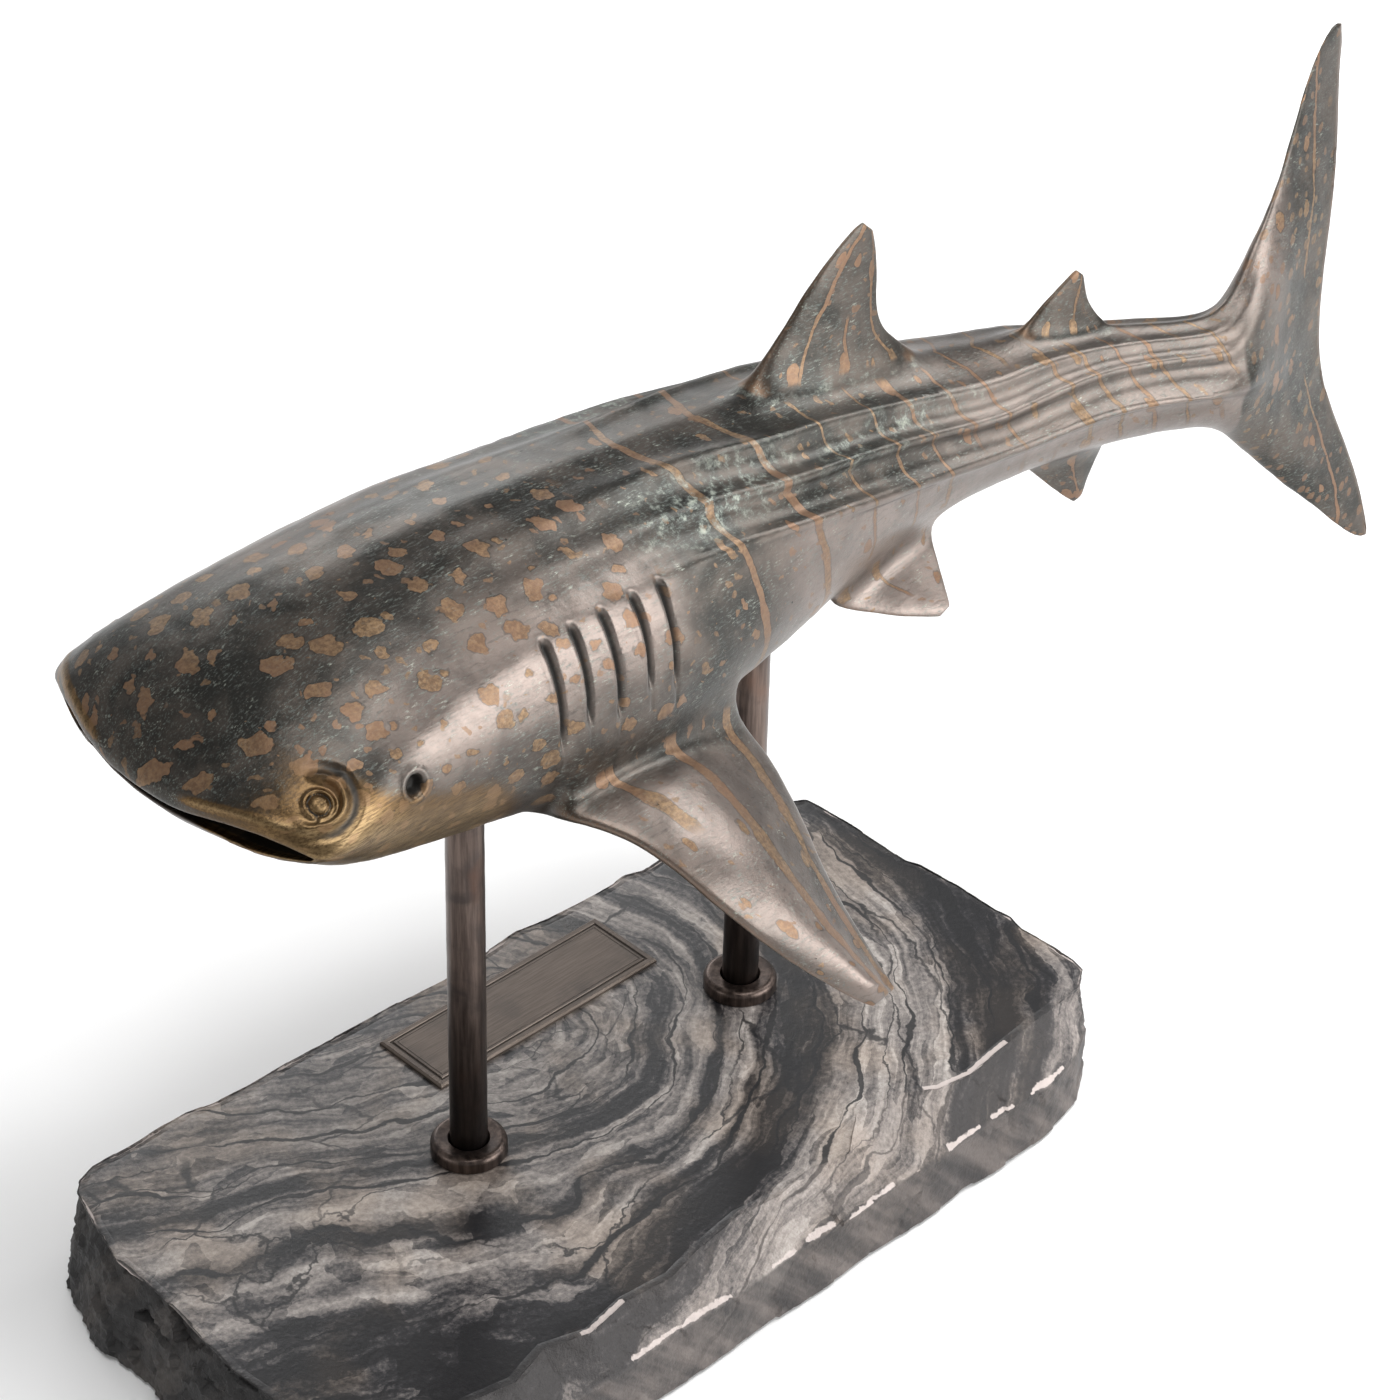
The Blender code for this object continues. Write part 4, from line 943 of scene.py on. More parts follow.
class Finish:
    """Wires one procedural material from plain calls."""

    def __init__(self, name):
        self.made = bpy.data.materials.new(name)
        self.made.use_nodes = True
        self.tree = self.made.node_tree
        self.shader = self.tree.nodes["Principled BSDF"]
        self.place = self.lay("TexCoord", {}, "Object")

    def wire(self, values, sockets):
        """Links or sets each named or numbered socket; a colour is given as three whole numbers."""
        for key, value in values.items():
            if isinstance(value, Wire):
                self.tree.links.new(value.socket, sockets[key])
            elif value is not None:
                sockets[key].default_value = srgb(*value) if isinstance(value, tuple) else value

    def lay(self, kind, values, output=0, **settings):
        node = self.tree.nodes.new("ShaderNode" + kind)
        for name, value in settings.items():
            setattr(node, name, value)
        self.wire(values, node.inputs)
        return Wire(self, node.outputs[output])

    def math(self, kind, *values, clamp=False):
        return self.lay("Math", dict(enumerate(values)), operation=kind, use_clamp=clamp)

    def most(self, first, *others):
        for other in others:
            first = self.math("MAXIMUM", first, other)
        return first

    def least(self, a, b):
        return self.math("MINIMUM", a, b)

    def vector(self, kind, *values, output="Vector"):
        return self.lay("VectorMath", dict(enumerate(values)), output, operation=kind)

    def join(self, *values):
        return self.lay("CombineXYZ", dict(enumerate(values)))

    def split(self, vector):
        node = self.lay("SeparateXYZ", {0: vector}).socket.node
        return [Wire(self, output) for output in node.outputs]

    def masks(self, *names):
        return [self.lay("Attribute", {}, "Fac", attribute_name=name) for name in names]

    def noise(self, scale, vector=None, detail=4.0, rough=0.55, warp=0.0, colour=False):
        return self.lay("TexNoise", {"Vector": vector or self.place, "Scale": scale, "Detail": detail,
                                     "Roughness": rough, "Distortion": warp}, "Color" if colour else "Fac")

    def cells(self, scale, vector=None, feature="F1", flat=False, randomness=1.0):
        made = self.lay("TexVoronoi", {
            "Vector": vector or self.place, "Scale": scale, "Randomness": randomness},
            feature=feature, voronoi_dimensions="2D" if flat else "3D")
        return {output.name: Wire(self, output) for output in made.socket.node.outputs}

    def stretch(self, x, y, z, vector=None):
        made = self.lay("Mapping", {"Vector": vector or self.place})
        made.socket.node.inputs["Scale"].default_value = (x, y, z)
        return made

    def mix(self, share, a, b):
        return self.lay("Mix", {0: share, 6: a, 7: b}, 2, data_type="RGBA")

    def ramp(self, value, stops):
        made = self.lay("ValToRGB", {"Fac": value}, "Color")
        ramp = made.socket.node.color_ramp
        while len(ramp.elements) < len(stops):
            ramp.elements.new(0.5)
        for element, (at, colour) in zip(ramp.elements, stops):
            element.position = at
            element.color = srgb(*colour) if isinstance(colour, tuple) else (colour, colour, colour, 1.0)
        return made

    def relief(self, height, distance, strength=1.0, before=None):
        return self.lay("Bump", {
            "Height": height, "Distance": distance, "Strength": strength, "Normal": before})

    def finish(self, colour, roughness, metallic=None, normal=None, extra={}):
        self.wire({"Base Color": colour, "Roughness": roughness, "Metallic": metallic, "Normal": normal}
                  | extra, self.shader.inputs)
        return self.made


# scale of the bronze's own pattern
D = POST_DIAMETER


def cast_bronze():
    """Dark patina with copper spots and stripes laid in, bare brass about the mouth, green in hollows."""
    f = Finish("cast_bronze")
    phase, gap, lane, along, bold, dense, short, quiet, front = f.masks(
        "phase", "gap", "lane", "along", "bold", "dense", "short", "quiet", "front")
    brass_zone, worn, green_zone, dark_zone, rim, line, throat = f.masks(
        "brass", "worn", "green", "dark", "rim", "line", "throat")

    # wobble shared by every laid-in mark
    drift = f.split(f.noise(0.9 / D, detail=3.0, colour=True))[0]
    jitter_x, jitter_y, _ = f.split(f.noise(3.4 / D, detail=1.5, rough=0.5, colour=True))

    # stripes: dark-edged copper lines across the body, at half numbers of the phase
    shifted = phase + ((drift - 0.5) * 0.3 + (jitter_x - 0.5) * 0.08) / gap
    number = f.math("FLOOR", shifted)
    from_line = abs(f.math("FRACT", shifted) - 0.5) * gap
    swell = f.noise(1.0, f.join(number * 3.7, lane * 0.55, 2.0), detail=2.0)
    half = (0.026 + bold * 0.105) * swell.step(0.25, 0.75, 0.65, 1.4)
    gate = f.noise(1.0, f.join(number * 7.3, lane * 0.2, 9.0), detail=1.0).step(0.34, 0.4)
    gate = f.most(gate, bold.step(0.6, 0.75)) * short * phase.step(0.0, 0.05)
    stripe = (half - from_line).step(-0.014, 0.014) * gate
    stripe_edge = (half - from_line).step(-0.055, -0.012) * gate

    # rows of ovals between the stripes
    row_at = f.join(phase + (jitter_x - 0.5) * 0.16, lane * 0.72 + (jitter_y - 0.5) * 0.16)
    ovals = f.cells(1.0, row_at, flat=True, randomness=0.42)
    off_x, off_y, _ = f.split(f.vector("SUBTRACT", row_at, ovals["Position"]))
    dice_a, dice_b, _ = f.split(ovals["Color"])
    far = f.vector("LENGTH", f.join(off_x * gap / 0.62, off_y * (1.0 / 0.72)), output="Value")
    inside = dice_a.step(0.15, 1.0, 0.1, 0.27) - far
    keep = dice_b.step(0.16, 0.18) * (1.0 - front)
    marks = inside.step(-0.014, 0.014) * keep
    outlines = inside.step(-0.06, -0.012) * keep

    # scattered blotches over the head
    stir = 0.42 - dense * 0.3
    sheet_x = along + (jitter_x - 0.5) * stir
    sheet_y = lane + (jitter_y - 0.5) * stir
    blots = f.cells(1.0, f.join(sheet_x * 1.05, sheet_y * 1.05), flat=True, randomness=0.72)
    dice_a, dice_b, _ = f.split(blots["Color"])
    inside = dice_a.step(0.0, 1.0, 0.1, 0.28) - blots["Distance"] * 0.95
    keep = front * dice_b.step(0.07, 0.09)
    marks = f.most(inside.step(-0.014, 0.014) * keep, marks)
    outlines = f.most(inside.step(-0.06, -0.012) * keep, outlines)

    # small specks everywhere
    specks = f.cells(1.0, f.join(sheet_x * 2.1, sheet_y * 2.1), flat=True)
    dice_a, dice_b, _ = f.split(specks["Color"])
    inside = dice_a.step(0.2, 1.0, 0.028, 0.095) + dense * 0.055 - specks["Distance"] * 0.476
    speck = inside.step(-0.01, 0.01) * (dice_b + dense * 0.1).step(0.48, 0.52)

    quiet = f.math("SUBTRACT", 1.0, quiet, clamp=True)
    marks = f.most(marks, stripe * (1.0 - front), speck * (0.75 - dense * 0.05)) * quiet
    outlines = f.most(outlines, stripe_edge * (1.0 - front)) * quiet

    # base patina
    cloud = f.noise(0.55 / D, detail=5.0, rough=0.6, warp=0.4)
    grain = f.noise(9.0 / D, detail=4.0, rough=0.65)
    streaks = f.noise(1.0, f.stretch(1.6 / D, 9.0 / D, 9.0 / D), detail=5.0, rough=0.7)
    base = f.mix(cloud.step(0.38, 0.66), (52, 51, 48), (84, 77, 71))
    # paler where rubbed, with painted highlight and painted floor reflection laid in through the same mask
    base = base.coat(worn * 0.85, f.mix(cloud.step(0.3, 0.7), (118, 107, 101), (142, 129, 122)))
    base = base.coat(streaks.step(0.52, 0.75, 0.0, 0.45), (42, 42, 40))
    base = base.coat(grain.step(0.58, 0.75, 0.0, 0.35), (120, 108, 98)).coat(outlines * 0.45, (36, 33, 30))
    tan = f.mix(grain.step(0.35, 0.7), (92, 72, 52), (134, 108, 78))
    tan = tan.coat(f.noise(0.35 / D, detail=2.0).step(0.35, 0.65, 0.0, 0.7), (116, 86, 66))
    base = base.coat(marks * 0.94, tan)

    # bare brass round the mouth, eye and cheek
    brush = f.noise(1.0, f.stretch(2.2 / D, 15.0 / D, 22.0 / D), detail=4.0, rough=0.7)
    brass = (brass_zone + (grain - 0.5) * 0.1 + (brush - 0.5) * 0.1).step(0.03, 0.26)
    gold = f.ramp(brass_zone, ((0.0, (70, 54, 38)), (0.22, (104, 81, 52)), (0.45, (128, 106, 74)),
                               (1.0, (148, 129, 98))))
    gold = gold.coat(brush.step(0.58, 0.38, 0.0, 0.75), (72, 55, 36))
    gold = gold.coat(f.noise(0.9 / D, detail=3.0).step(0.46, 0.68, 0.0, 0.5), (86, 68, 46))
    base = base.coat(brass, gold.coat(marks * 0.35, (130, 96, 60))).coat(rim * 0.55, (120, 92, 70))

    # green and pale dust in hollows and beside the ridges, and fine scratches along the body
    crust = f.noise(3.2 / D, detail=6.0, rough=0.72)
    crust_b = f.noise(0.8 / D, detail=3.0)
    green = (green_zone * 0.36 + crust_b * 0.18).step(0.15, 0.46) * crust.step(0.46, 0.6)
    hair = f.noise(1.0, f.stretch(5.0 / D, 20.0 / D, 20.0 / D), detail=3.0, rough=0.75)
    hair = hair.step(0.51, 0.66) * crust_b.step(0.36, 0.6, 0.3, 1.0)
    hair = hair * (1.0 - brass) * (0.62 - marks * 0.45)
    veil = f.most(green * 0.85, hair)
    base = base.coat(veil, f.mix(crust.step(0.5, 0.72), (96, 104, 99), (180, 186, 172)))

    # black in cuts, pits and under the ridge lines: patina in the hollows, and painted shade in the cuts and
    # under the ridge steps
    pits = f.cells(1.0 / (0.62 * D))
    pit = (pits["Distance"] * 0.62).step(0.045, 0.022) * f.split(pits["Color"])[0].step(0.72, 0.76)
    black = f.most(dark_zone.step(0.25, 0.8), line.step(0.35, 0.95) * 0.55, pit * 0.8)
    base = base.coat(black * 0.9, (24, 24, 22)).coat(throat * 0.6 * (1.0 - brass), (86, 76, 70))

    rough = cloud.step(0.3, 0.7, 0.33, 0.4) + (grain - 0.5) * 0.16 + veil * 0.22 + marks * 0.04 + black * 0.2
    metal = f.math("SUBTRACT", 0.92 - veil * 0.55 - black * 0.45, marks * 0.3, clamp=True)
    height = streaks * 0.45 + grain * 0.45 + brush * brass_zone * 0.9 - pit * 1.6
    return f.finish(base, rough, metal, f.relief(height, 0.00026, 0.65),
                    {"Coat Weight": 0.12, "Coat Roughness": 0.3})


def rod_bronze(name, fade):
    """Dark brown rods and collars with faint upright streaks and rubbed patches."""
    f = Finish(name)
    upright = f.noise(1.0, f.stretch(420.0, 420.0, 26.0), detail=5.0, rough=0.65)
    cloud = f.noise(55.0, detail=4.0, warp=0.6)
    base = f.mix(upright.step(0.35, 0.7), (76, 65, 60), (118, 103, 95))
    base = base.coat(cloud.step(0.48, 0.7, 0.0, 0.65), (56, 52, 52))
    base = base.coat(f.noise(32.0, detail=3.0).step(0.55, 0.72, 0.0, 0.5), (118, 84, 66))
    base = base.coat(f.split(f.place)[2].step(0.14, 0.05, 0.0, fade), (32, 28, 27))
    rough = upright.step(0.3, 0.7, 0.3, 0.42) + (cloud - 0.5) * 0.18
    normal = f.relief(upright + f.noise(900.0) * 0.5, 0.00012, 0.6)
    return f.finish(base, rough, 0.92, normal, {"Coat Weight": 0.1, "Coat Roughness": 0.25})


def plaque_bronze():
    """Brown-grey cast plate, brushed along its length, darker in its sunk lines."""
    f = Finish("plaque_bronze")
    brush = f.noise(1.0, f.stretch(60.0, 1500.0, 400.0), detail=4.0, rough=0.7)
    cloud = f.noise(70.0, detail=4.0)
    base = f.mix(brush.step(0.35, 0.68), (84, 76, 70), (112, 102, 95))
    base = base.coat(cloud.step(0.45, 0.75, 0.0, 0.5), (70, 66, 64))
    x, y, _ = f.split(f.place)
    inset = f.least(PLAQUE_HALF_LENGTH - abs(x), PLAQUE_HALF_WIDTH - abs(y - PLAQUE_Y))
    lines = f.most(abs(inset - 0.0028).step(0.00042, 0.00018),
                   abs(inset - 0.0043).step(0.00026, 0.00008) * 0.8)
    base = base.coat(lines * 0.55, (48, 44, 42)).coat(inset.step(0.0009, 0.0004) * 0.5, (136, 124, 114))
    rough = brush.step(0.3, 0.7, 0.36, 0.5) + lines * 0.15
    normal = f.relief(brush * 0.25 - lines, 0.00025, 0.7)
    return f.finish(base, rough, 0.85, normal)


def steel():
    f = Finish("zinc_plated_steel")
    spangle = f.noise(240.0, detail=4.0, rough=0.6)
    base = f.mix(spangle.step(0.35, 0.7), (150, 150, 146), (192, 192, 188))
    base = base.coat(f.noise(90.0, detail=5.0).step(0.58, 0.75, 0.0, 0.4), (120, 112, 96))
    return f.finish(base, spangle.step(0.3, 0.7, 0.28, 0.45), 0.95, f.relief(spangle, 0.0001, 0.5))


def felt():
    f = Finish("black_felt")
    fibre = f.noise(1400.0, detail=5.0, rough=0.8, warp=1.5)
    base = f.mix(fibre.step(0.35, 0.75), (22, 22, 24), (52, 52, 55))
    base = base.coat(f.noise(180.0, detail=3.0).step(0.5, 0.8, 0.0, 0.4), (66, 66, 68))
    return f.finish(base, fibre.step(0.3, 0.7, 0.88, 1.0), 0.0, f.relief(fibre, 0.0006, 0.9),
                    {"Sheen Weight": 0.25})


def banded_marble():
    """Grey and charcoal bands that sweep in a bend round the plaque, with black veins, pale breaks partly
    painted as highlight, and painted shade at the left end.
    """
    f = Finish("banded_marble")
    x, y, z = f.split(f.lay("VectorMath", {0: f.place, "Scale": 1000.0}, operation="SCALE"))
    warp_x, warp_y, _ = f.split(f.noise(16.0, detail=3.0, rough=0.5, colour=True))
    small_x, small_y, small_z = f.split(f.noise(70.0, detail=4.0, rough=0.6, colour=True))
    px = x + 20.0 + (warp_x - 0.5) * 28.0
    py = y - 60.0 + (warp_y - 0.5) * 28.0 + z * 0.35
    # distance from a line that runs back to the far left corner
    along = f.least(px * 0.88 + py * -0.47, 0.0)
    cx = px - along * 0.88
    cy = py - along * -0.47
    bend = f.vector("LENGTH", f.join(cx, cy), output="Value")
    heading = f.math("ARCTAN2", cy, cx)
    run = heading * 70.0 + along
    # the outer layers fan apart towards the left end
    fan = heading.step(-1.5, -2.06, 1.0, 0.45)
    bend = f.least(bend, 80.0) + f.most(bend - 80.0, 0.0) * fan
    level = bend + (small_x - 0.5) * 5.0
    thin = f.noise(1.0, f.join(level * 0.32, run * 0.022, 0.0), detail=5.0, rough=0.62)
    broad = f.noise(1.0, f.join(level * 0.085, run * 0.01, 4.0), detail=2.0)
    tone = f.ramp(level / 240.0, (
        (0.0, 0.46), (0.12, 0.62), (0.2, 0.54), (0.255, 0.44), (0.265, 0.1), (0.285, 0.16), (0.298, 0.6),
        (0.345, 0.68), (0.362, 0.16), (0.378, 0.56), (0.41, 0.66), (0.425, 0.2), (0.442, 0.42),
        (0.46, 0.06), (0.505, 0.1), (0.53, 0.58), (0.6, 0.74), (0.66, 0.6), (0.7, 0.5), (0.718, 0.1),
        (0.835, 0.1), (0.862, 0.58), (0.92, 0.5), (0.96, 0.26), (1.0, 0.5)))
    tone += (1.0 - fan) * 0.22
    # painted shade: the stone darkens towards the left end
    tone -= x.step(60.0, -170.0, 0.05, 0.2)
    tone += (thin - 0.5) * 1.25
    tone += (broad - 0.5) * 0.8
    tone += (small_y - 0.5) * 0.22
    # broken blocks and grains between the layers
    scatter = f.join((level + (small_z - 0.5) * 6.0) * 0.28, run * 0.085, z * 0.1)
    tone += (f.split(f.cells(1.0, scatter)["Color"])[0] - 0.5) * 0.34
    tone += (f.noise(520.0, detail=5.0, rough=0.75) - 0.5) * 1.0
    stone = f.ramp(tone, ((0.0, (20, 20, 23)), (0.2, (36, 35, 38)), (0.34, (72, 69, 69)),
                          (0.55, (118, 112, 109)), (0.75, (152, 145, 140)), (1.0, (190, 183, 177))))
    taupe = f.noise(24.0, detail=3.0).step(0.46, 0.64, 0.0, 0.5)
    stone = stone.coat(taupe, f.mix(tone, (50, 44, 40), (182, 164, 148)))

    # thin black veins that follow the bands, and cracks that step across them
    vein_at = level * 0.062 + (small_z - 0.5) * 0.3 + (f.noise(22.0, detail=2.0) - 0.5) * 1.3
    vein = abs(f.math("FRACT", vein_at) - 0.5)
    thick = f.noise(30.0, detail=3.0).step(0.35, 0.72, 0.008, 0.085)
    vein = (thick - vein).step(-0.015, 0.015)
    blocks = f.join((level + (small_y - 0.5) * 10.0) * 0.05, (run + (small_x - 0.5) * 14.0) * 0.02, z * 0.02)
    crack = f.cells(1.0, blocks, feature="DISTANCE_TO_EDGE")["Distance"].step(0.022, 0.006)
    crack *= f.noise(18.0, detail=2.0).step(0.42, 0.56)
    stone = stone.coat(f.most(vein * 0.94, crack * 0.85), (20, 20, 23))

    # broken faces are paler and rougher; white on their arrises and on the near edge's chips: pale breaks
    # and painted highlight
    broken, arris, under, chip = f.masks("broken", "arris", "below", "chip")
    stone = stone.coat(broken * 0.4, f.mix(tone.step(0.2, 0.8), (70, 65, 63), (138, 128, 122)))
    leaning = f.stretch(90.0, 90.0, 22.0, f.vector("ADD", f.place, f.join(z * 0.0009, 0.0, 0.0)))
    below = f.mix(f.noise(1.0, leaning, detail=4.0).step(0.35, 0.68), (42, 39, 39), (100, 92, 88))
    # the sides below the ledge are darker, with leaning streaks; at the left end they are near black,
    # painted shade
    stone = stone.coat(under * 0.84, below.coat(x.step(-140.0, -168.0), (20, 19, 19)))
    # white along the arrises and chips: pale broken stone and painted highlight
    white = (arris + (small_x - 0.5) * 0.7).step(0.5, 0.72) * arris.step(0.05, 0.3)
    ragged = (small_y - 0.5) * 1.1 + (f.noise(420.0, detail=3.0) - 0.5) * 0.9
    white = f.most(white, (chip + ragged).step(0.5, 0.72) * chip.step(0.02, 0.25))
    stone = stone.coat(white * 0.8, (206, 194, 189))
    rough = tone.step(0.0, 1.0, 0.34, 0.44) + broken * 0.28
    rough = f.math("ADD", rough, white * 0.1, clamp=True)
    fine = f.relief(f.noise(520.0, detail=4.0, rough=0.7), 0.0003, 0.35)
    chips = f.relief(f.noise(150.0, detail=5.0, rough=0.68) * broken, 0.0022, 0.8, fine)
    return f.finish(stone, rough, 0.0, chips, {"Specular IOR Level": 0.5})


# marble slab

def keep_edges_crisp(work, degrees):
    """Turns all faces outwards and keeps edges sharper than this many degrees unsmoothed."""
    bmesh.ops.recalc_face_normals(work, faces=work.faces)
    for edge in work.edges:
        if len(edge.link_faces) == 2 and edge.calc_face_angle(0.0) > math.radians(degrees):
            edge.smooth = False


def dice(i, j, seed):
    value = np.sin(i * 127.1 + j * 311.7 + seed * 74.7) * 43758.5453
    return value - np.floor(value)


def facets(u, v, size_u, size_v, seed):
    """Depth, 0 to 1, of chipped facets on a (u, v) sheet, and nearness to the arrises between them."""
    a = u / size_u
    b = v / size_v
    best = np.full(len(u), 9.0)
    second = np.full(len(u), 9.0)
    depth = np.zeros(len(u))
    for di in (-1, 0, 1):
        for dj in (-1, 0, 1):
            i = np.floor(a) + di
            j = np.floor(b) + dj
            x = i + 0.1 + 0.8 * dice(i, j, seed)
            y = j + 0.1 + 0.8 * dice(i, j, seed + 1)
            away = np.hypot(a - x, b - y)
            plane = dice(i, j, seed + 2) + (dice(i, j, seed + 3) - 0.5) * (a - x) * 0.9
            plane = plane + (dice(i, j, seed + 4) - 0.5) * (b - y) * 0.9
            closer = away < best
            second = np.where(closer, best, np.minimum(second, away))
            depth = np.where(closer, plane, depth)
            best = np.where(closer, away, best)
    return np.clip(depth, 0, 1.2), np.exp(-((second - best) / 0.10) ** 2)


def slab_layers():
    """The slab's three outlines as in the solid: top face, ledge and underside, in millimetres."""
    layers = []
    for level, (drop, push, near) in enumerate((
            (0.0, 0.0, 0.0), (LEDGE_DROP * 1000, 0.6, -99.5), (SLAB_THICKNESS * 1000, 0.8, -101.0))):
        row = []
        for k, (x, y) in enumerate(SLAB_OUTLINE):
            wobble = 0.9 * math.sin(2.1 * k + 1.7 * level) if level else 0.0
            px = x
            py = y
            if x < -165 and level:
                px = x - (4.5 if level == 1 else 9.5) - wobble
            elif x > 155:
                px = x - 2.0 * level + 0.5 * wobble
            if y > 60:
                py = y + push + 0.6 * wobble
            if y < -70 and level:
                depth = min(1.0, max(0.0, (160.0 - x) / 32.0)) * min(1.0, max(0.0, (x + 190.0) / 18.0))
                py = y + (near + 0.7 * wobble - y) * depth
            row.append((px, py, -drop))
        layers.append(np.array(row))
    return layers


# pale chips along the near edge, partly painted highlight: where each begins and ends, in millimetres
LOW_CHIPS = ((-81.6, -37.1), (-19.0, -6.6), (-2.2, 12.2), (16.1, 39.9), (66.0, 83.4), (88.3, 99.5),
             (107.6, 127.4))
HIGH_CHIPS = ((-94.6, -74.3), (70.3, 109.8))
CHIP_FADE = 0.6


def in_spans(at, spans):
    found = np.zeros(len(at))
    for low, high in spans:
        begun = ease(low - CHIP_FADE, low + CHIP_FADE, at)
        found = np.maximum(found, begun * ease(high + CHIP_FADE, high - CHIP_FADE, at))
    return found


def build_slab(stone):
    layers = slab_layers()
    count = len(SLAB_OUTLINE)
    looped = [np.vstack([layer, layer[:1]]) for layer in layers]
    reach = np.concatenate(([0.0], np.cumsum(np.linalg.norm(np.diff(looped[0], axis=0), axis=1))))
    around = 900
    arc = np.linspace(0.0, reach[-1], around, endpoint=False)
    index = np.interp(arc, reach, np.arange(count + 1))
    rings = [np.stack([np.interp(index, np.arange(count + 1), layer[:, c]) for c in range(3)], axis=1)
             for layer in looped]
    heading = np.roll(rings[0], -6, axis=0) - np.roll(rings[0], 6, axis=0)
    heading /= np.linalg.norm(heading[:, :2], axis=1)[:, None]
    outward = np.stack([heading[:, 1], -heading[:, 0], np.zeros(around)], axis=1)
    near_side = ease(-60.0, -74.0, rings[0][:, 1]) * ease(158.0, 140.0, rings[0][:, 0])
    left_end = ease(-150.0, -172.0, rings[0][:, 0])
    none = np.zeros(around)
    # each strip is a ring of places, then its broken, arris, below and chip masks
    strips = []

    # rim of the honed top, chipped back here and there
    rim_chip = np.clip(waves(rings[0], 0.045, 3.0) + 0.15, 0, 1)
    rim_chip = rim_chip + 0.6 * np.clip(waves(rings[0], 0.16, 4.0), 0, 1)
    rim_depth, _ = facets(arc, none, 11.0, 5.0, 21.0)
    for inset, drop in ((5.0, 0.0), (3.2, 0.10), (2.0, 0.30), (1.1, 0.62), (0.5, 0.95)):
        row = rings[0] - outward * inset
        row[:, 2] -= drop * (0.35 + 1.5 * rim_chip * rim_depth)
        arris = bump(inset - 0.9, 1.0) * np.clip(0.25 + rim_chip, 0, 1) * (1.0 - 0.6 * near_side)
        strips.append((row, ease(3.5, 0.8, inset) * np.clip(0.3 + rim_chip, 0, 1), arris, none,
                       near_side * in_spans(row[:, 0], HIGH_CHIPS) * (inset < 3.0)))

    # broken sides: from the top to the ledge, then from the ledge down
    for part, steps in enumerate((14, 18)):
        for s in range(part, steps + 1):
            t = s / steps
            row = rings[part] + (rings[part + 1] - rings[part]) * t
            depth, line = facets(arc + 3.0 * waves(row, 0.08, 7.0), row[:, 2] + 40.0 * part, 15.0, 9.0, 5.0)
            fine_depth, fine_line = facets(arc + 1.5 * waves(row, 0.2, 9.0), row[:, 2] + 9.0, 5.0, 3.4, 11.0)
            rough = waves(row, 0.35, 12.0, 5)
            push = 2.3 * depth + 0.8 * fine_depth + 0.35 * rough
            if part:
                push = np.clip(push * ((0.55 + 0.9 * left_end) * (1.0 - 0.35 * near_side)), 0, None)
                push = push * (0.55 + 0.45 * ease(0.0, 0.10, t))
            else:
                push = np.clip(push * (0.75 + 0.9 * left_end), 0, None)
                push = push * (0.25 + 0.75 * ease(0.0, 0.12, t))
            row = row - outward * push[:, None]
            if not part:
                row[:, 2] += near_side * (1.3 * (depth - 0.5) + 0.5 * rough) * np.sin(np.pi * t)
            strip = ease(0.05, 0.0, t) if part else ease(0.88, 0.98, t)
            arris = 0.35 * np.maximum(line, 0.6 * fine_line) * (1.0 - 0.5 * near_side)
            # above the ledge only the left end takes the below colours, painted shade there
            strips.append((row, none + (0.75 if part else 1.0), arris, none + 1.0 if part else left_end,
                           near_side * in_spans(row[:, 0], LOW_CHIPS) * strip))

    # the flat middle of the top and of the underside, in rings that close on a centre
    middle = np.array([-12.0, -7.0, 0.0])

    def flat(edge, shares, broken, below, level):
        found = []
        for share in shares:
            row = middle + (edge - middle) * np.array([share, share, 1.0])
            row[:, 2] = level
            found.append((row, none + broken, none, none + below, none))
        return found

    under = strips[-1][0]
    strips = (flat(strips[0][0], (0.12, 0.30, 0.50, 0.70, 0.86, 0.95), 0.0, 0.0, 0.0) + strips
              + flat(under, (0.95, 0.70, 0.40, 0.12), 0.7, 1.0, under[0, 2]))
    points, broken, arris, below, chip = (np.concatenate(column) for column in zip(*strips))
    points /= 1000.0
    points[:, 2] += SLAB_TOP
    low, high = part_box("marble_slab")
    points = np.clip(points, np.array(low), np.array(high))
    last = (len(strips) - 1) * around
    faces = [(start + k, start + around + k, start + around + (k + 1) % around, start + (k + 1) % around)
             for start in range(0, last, around) for k in range(around)]
    faces.append(tuple(range(around)))
    faces.append(tuple(range(last + around - 1, last - 1, -1)))
    mesh = bpy.data.meshes.new("rough_slab")
    mesh.from_pydata([tuple(p) for p in points], [], faces)
    mesh.update()
    set_fields(mesh, broken=broken, arris=arris, below=below, chip=chip)
    slab = linked("rough_slab", mesh, stone)
    work = bmesh.new()
    work.from_mesh(mesh)
    keep_edges_crisp(work, 20)
    work.to_mesh(mesh)
    work.free()
    return slab


# turned fittings

def lathe(name, profile, segments, centre, material, closed=False):
    solid = bmesh.new()
    rows = []
    for radius, height in profile:
        row = []
        for k in range(segments):
            turn = 2 * math.pi * k / segments
            row.append(solid.verts.new((centre + radius * math.cos(turn), radius * math.sin(turn), height)))
        rows.append(row)
    pairs = list(zip(rows, rows[1:]))
    if closed:
        pairs.append((rows[-1], rows[0]))
    else:
        solid.faces.new(list(reversed(rows[0])))
        solid.faces.new(rows[-1])
    for low, high in pairs:
        for k in range(segments):
            n = (k + 1) % segments
            solid.faces.new((low[k], low[n], high[n], high[k]))
    keep_edges_crisp(solid, 32)
    return from_bmesh(name, solid, material)


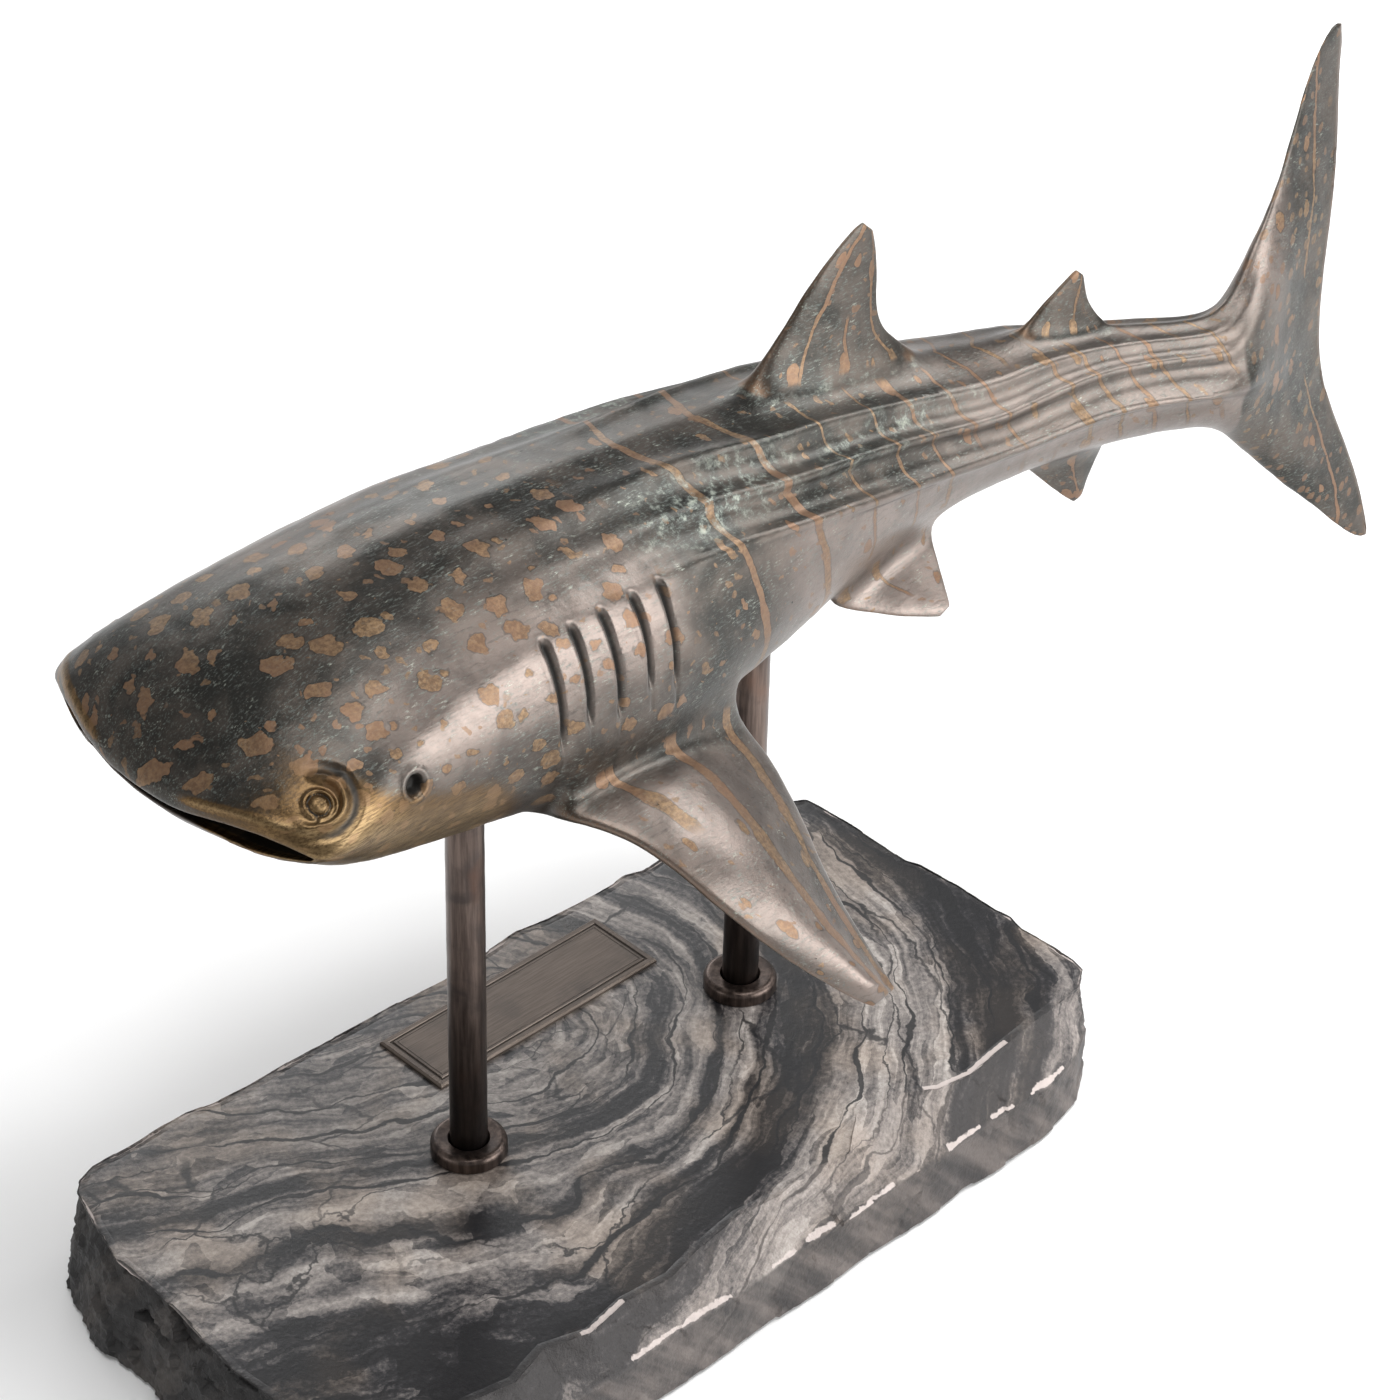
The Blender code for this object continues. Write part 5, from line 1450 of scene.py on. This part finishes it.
def build_post(end, x, material):
    top = POST_TOPS[end]
    shoulder = POST_DIAMETER / 2
    profile = [(SPIGOT_RADIUS - 0.0005, 0.0045), (SPIGOT_RADIUS, 0.0052), (SPIGOT_RADIUS, SLAB_TOP),
               (shoulder, SLAB_TOP)]
    for k in range(1, 24):
        height = SLAB_TOP + (top - 0.0006 - SLAB_TOP) * k / 24
        profile.append((shoulder - 0.00004 - 0.00004 * math.sin(9.0 * k), height))
    profile += [(shoulder, top - 0.0006), (shoulder - 0.0006, top)]
    return lathe(end + "_rod", profile, 96, x, material)


def build_collar(end, x, material):
    inner = POST_DIAMETER / 2 + FIT_GAP
    top = SLAB_TOP + COLLAR_HEIGHT
    profile = [(inner, SLAB_TOP), (COLLAR_RADIUS - 0.0004, SLAB_TOP), (COLLAR_RADIUS, SLAB_TOP + 0.0006)]
    rounding = 0.0022
    for k in range(11):
        turn = math.radians(90 * k / 10)
        profile.append((COLLAR_RADIUS - rounding + rounding * math.cos(turn),
                        top - rounding + rounding * math.sin(turn)))
    profile += [(COLLAR_RADIUS - 0.0034, top - 0.0001), (inner + 0.0005, top - 0.0002),
                (inner, top - 0.0007)]
    return lathe(end + "_ring", profile, 96, x, material, closed=True)


# stage

# strength of the sky's light, and each lamp's place, aim, width, height and watts
WORLD_LIGHT = 0.36
LAMPS = (
    ("key", (0.70, -1.40, 0.60), (0.05, 0.0, 0.18), 1.30, 0.90, 23.0),
    ("over", (-0.10, -0.35, 1.60), (0.05, 0.0, 0.15), 1.10, 0.80, 13.0),
    ("back", (0.70, 1.30, 0.85), (0.10, 0.0, 0.18), 1.00, 0.50, 7.0),
    ("left", (-1.50, 0.30, 0.60), (-0.05, 0.0, 0.20), 0.60, 0.60, 2.5),
    ("right", (0.86, -0.18, 0.93), (0.0, -0.10, 0.15), 0.50, 0.50, 6.0),
)

# the photograph's view, fitted to the posts and the slab
CAMERA_PLACE = (-0.7165113, -0.7523067, 0.93120)
CAMERA_RIGHT = Vector((0.71641177, -0.69731212, 0.02258289))
CAMERA_DOWN = Vector((-0.3913833, -0.42847787, -0.81438678))
CAMERA_AHEAD = Vector((0.57755804, 0.57459771, -0.57988291))


def build_stage():
    f = Finish("pale_floor")
    base = f.mix(f.noise(3.0, detail=2.0).step(0.3, 0.7), (246, 246, 246), (249, 249, 249))
    # the floor stays pale where the lamps don't reach
    away = f.vector("LENGTH", f.place, output="Value")
    finish = f.finish(base, 0.9, 0.0, None, {
        "Emission Color": (255, 255, 255), "Emission Strength": away.step(0.55, 1.50, 0.0, 0.60),
        "Specular IOR Level": 0.1})
    floor = bmesh.new()
    bmesh.ops.create_grid(floor, x_segments=2, y_segments=2, size=6.0)
    made = from_bmesh("floor", floor, finish, smooth=False)

    # the sky gives a low light, and the camera sees it as white
    world = bpy.data.worlds.new("studio")
    bpy.context.scene.world = world
    world.use_nodes = True
    nodes = world.node_tree.nodes
    links = world.node_tree.links
    sky = nodes["Background"].inputs
    sky["Color"].default_value = (1.0, 1.0, 1.0, 1.0)
    path = nodes.new("ShaderNodeLightPath")
    shown = nodes.new("ShaderNodeMapRange")
    shown.inputs["To Min"].default_value = WORLD_LIGHT
    shown.inputs["To Max"].default_value = 1.0
    links.new(path.outputs["Is Camera Ray"], shown.inputs["Value"])
    links.new(shown.outputs[0], sky["Strength"])


def build_lamps():
    for name, at, aim, wide, high, watts in LAMPS:
        lamp = bpy.data.lights.new(name, "AREA")
        lamp.shape = "RECTANGLE"
        lamp.size = wide
        lamp.size_y = high
        lamp.energy = watts
        made = bpy.data.objects.new(name, lamp)
        bpy.context.scene.collection.objects.link(made)
        made.location = at
        made.rotation_euler = (Vector(aim) - Vector(at)).to_track_quat("-Z", "Y").to_euler()


def build_camera():
    lens = bpy.data.cameras.new("camera")
    lens.sensor_width = 36.0
    lens.lens = 102.651
    lens.clip_start = 0.05
    made = bpy.data.objects.new("camera", lens)
    bpy.context.scene.collection.objects.link(made)
    turn = Matrix((CAMERA_RIGHT, -CAMERA_DOWN, -CAMERA_AHEAD)).transposed().to_4x4()
    made.matrix_world = Matrix.Translation(CAMERA_PLACE) @ turn
    bpy.context.scene.camera = made


def dress(piece, slot, *nodes):
    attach(piece, "root")
    if nodes:
        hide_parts(*nodes)


def main():
    build_camera()
    build_stage()
    build_lamps()
    bronze = cast_bronze()
    rod = rod_bronze("rod_bronze", 0.85)
    ring = rod_bronze("collar_bronze", 0.30)
    dress(build_shark(bronze), "cast_bronze", "shark")
    for end, x in (("front", -POST_SPACING / 2), ("rear", POST_SPACING / 2)):
        dress(build_post(end, x, rod), "post_bronze", end + "_post")
        dress(build_collar(end, x, ring), "post_bronze", end + "_collar")
    dress(build_slab(banded_marble()), "marble", "marble_slab")
    fixing = steel()
    carried = {"plaque": plaque_bronze(), "felt_underside": felt(), "front_washer": fixing,
               "rear_washer": fixing, "front_nut": fixing, "rear_nut": fixing}
    for name, material in carried.items():
        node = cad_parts[name]
        node.data.materials.clear()
        node.data.materials.append(material)
    bpy.context.scene.view_settings.view_transform = "Standard"


main()
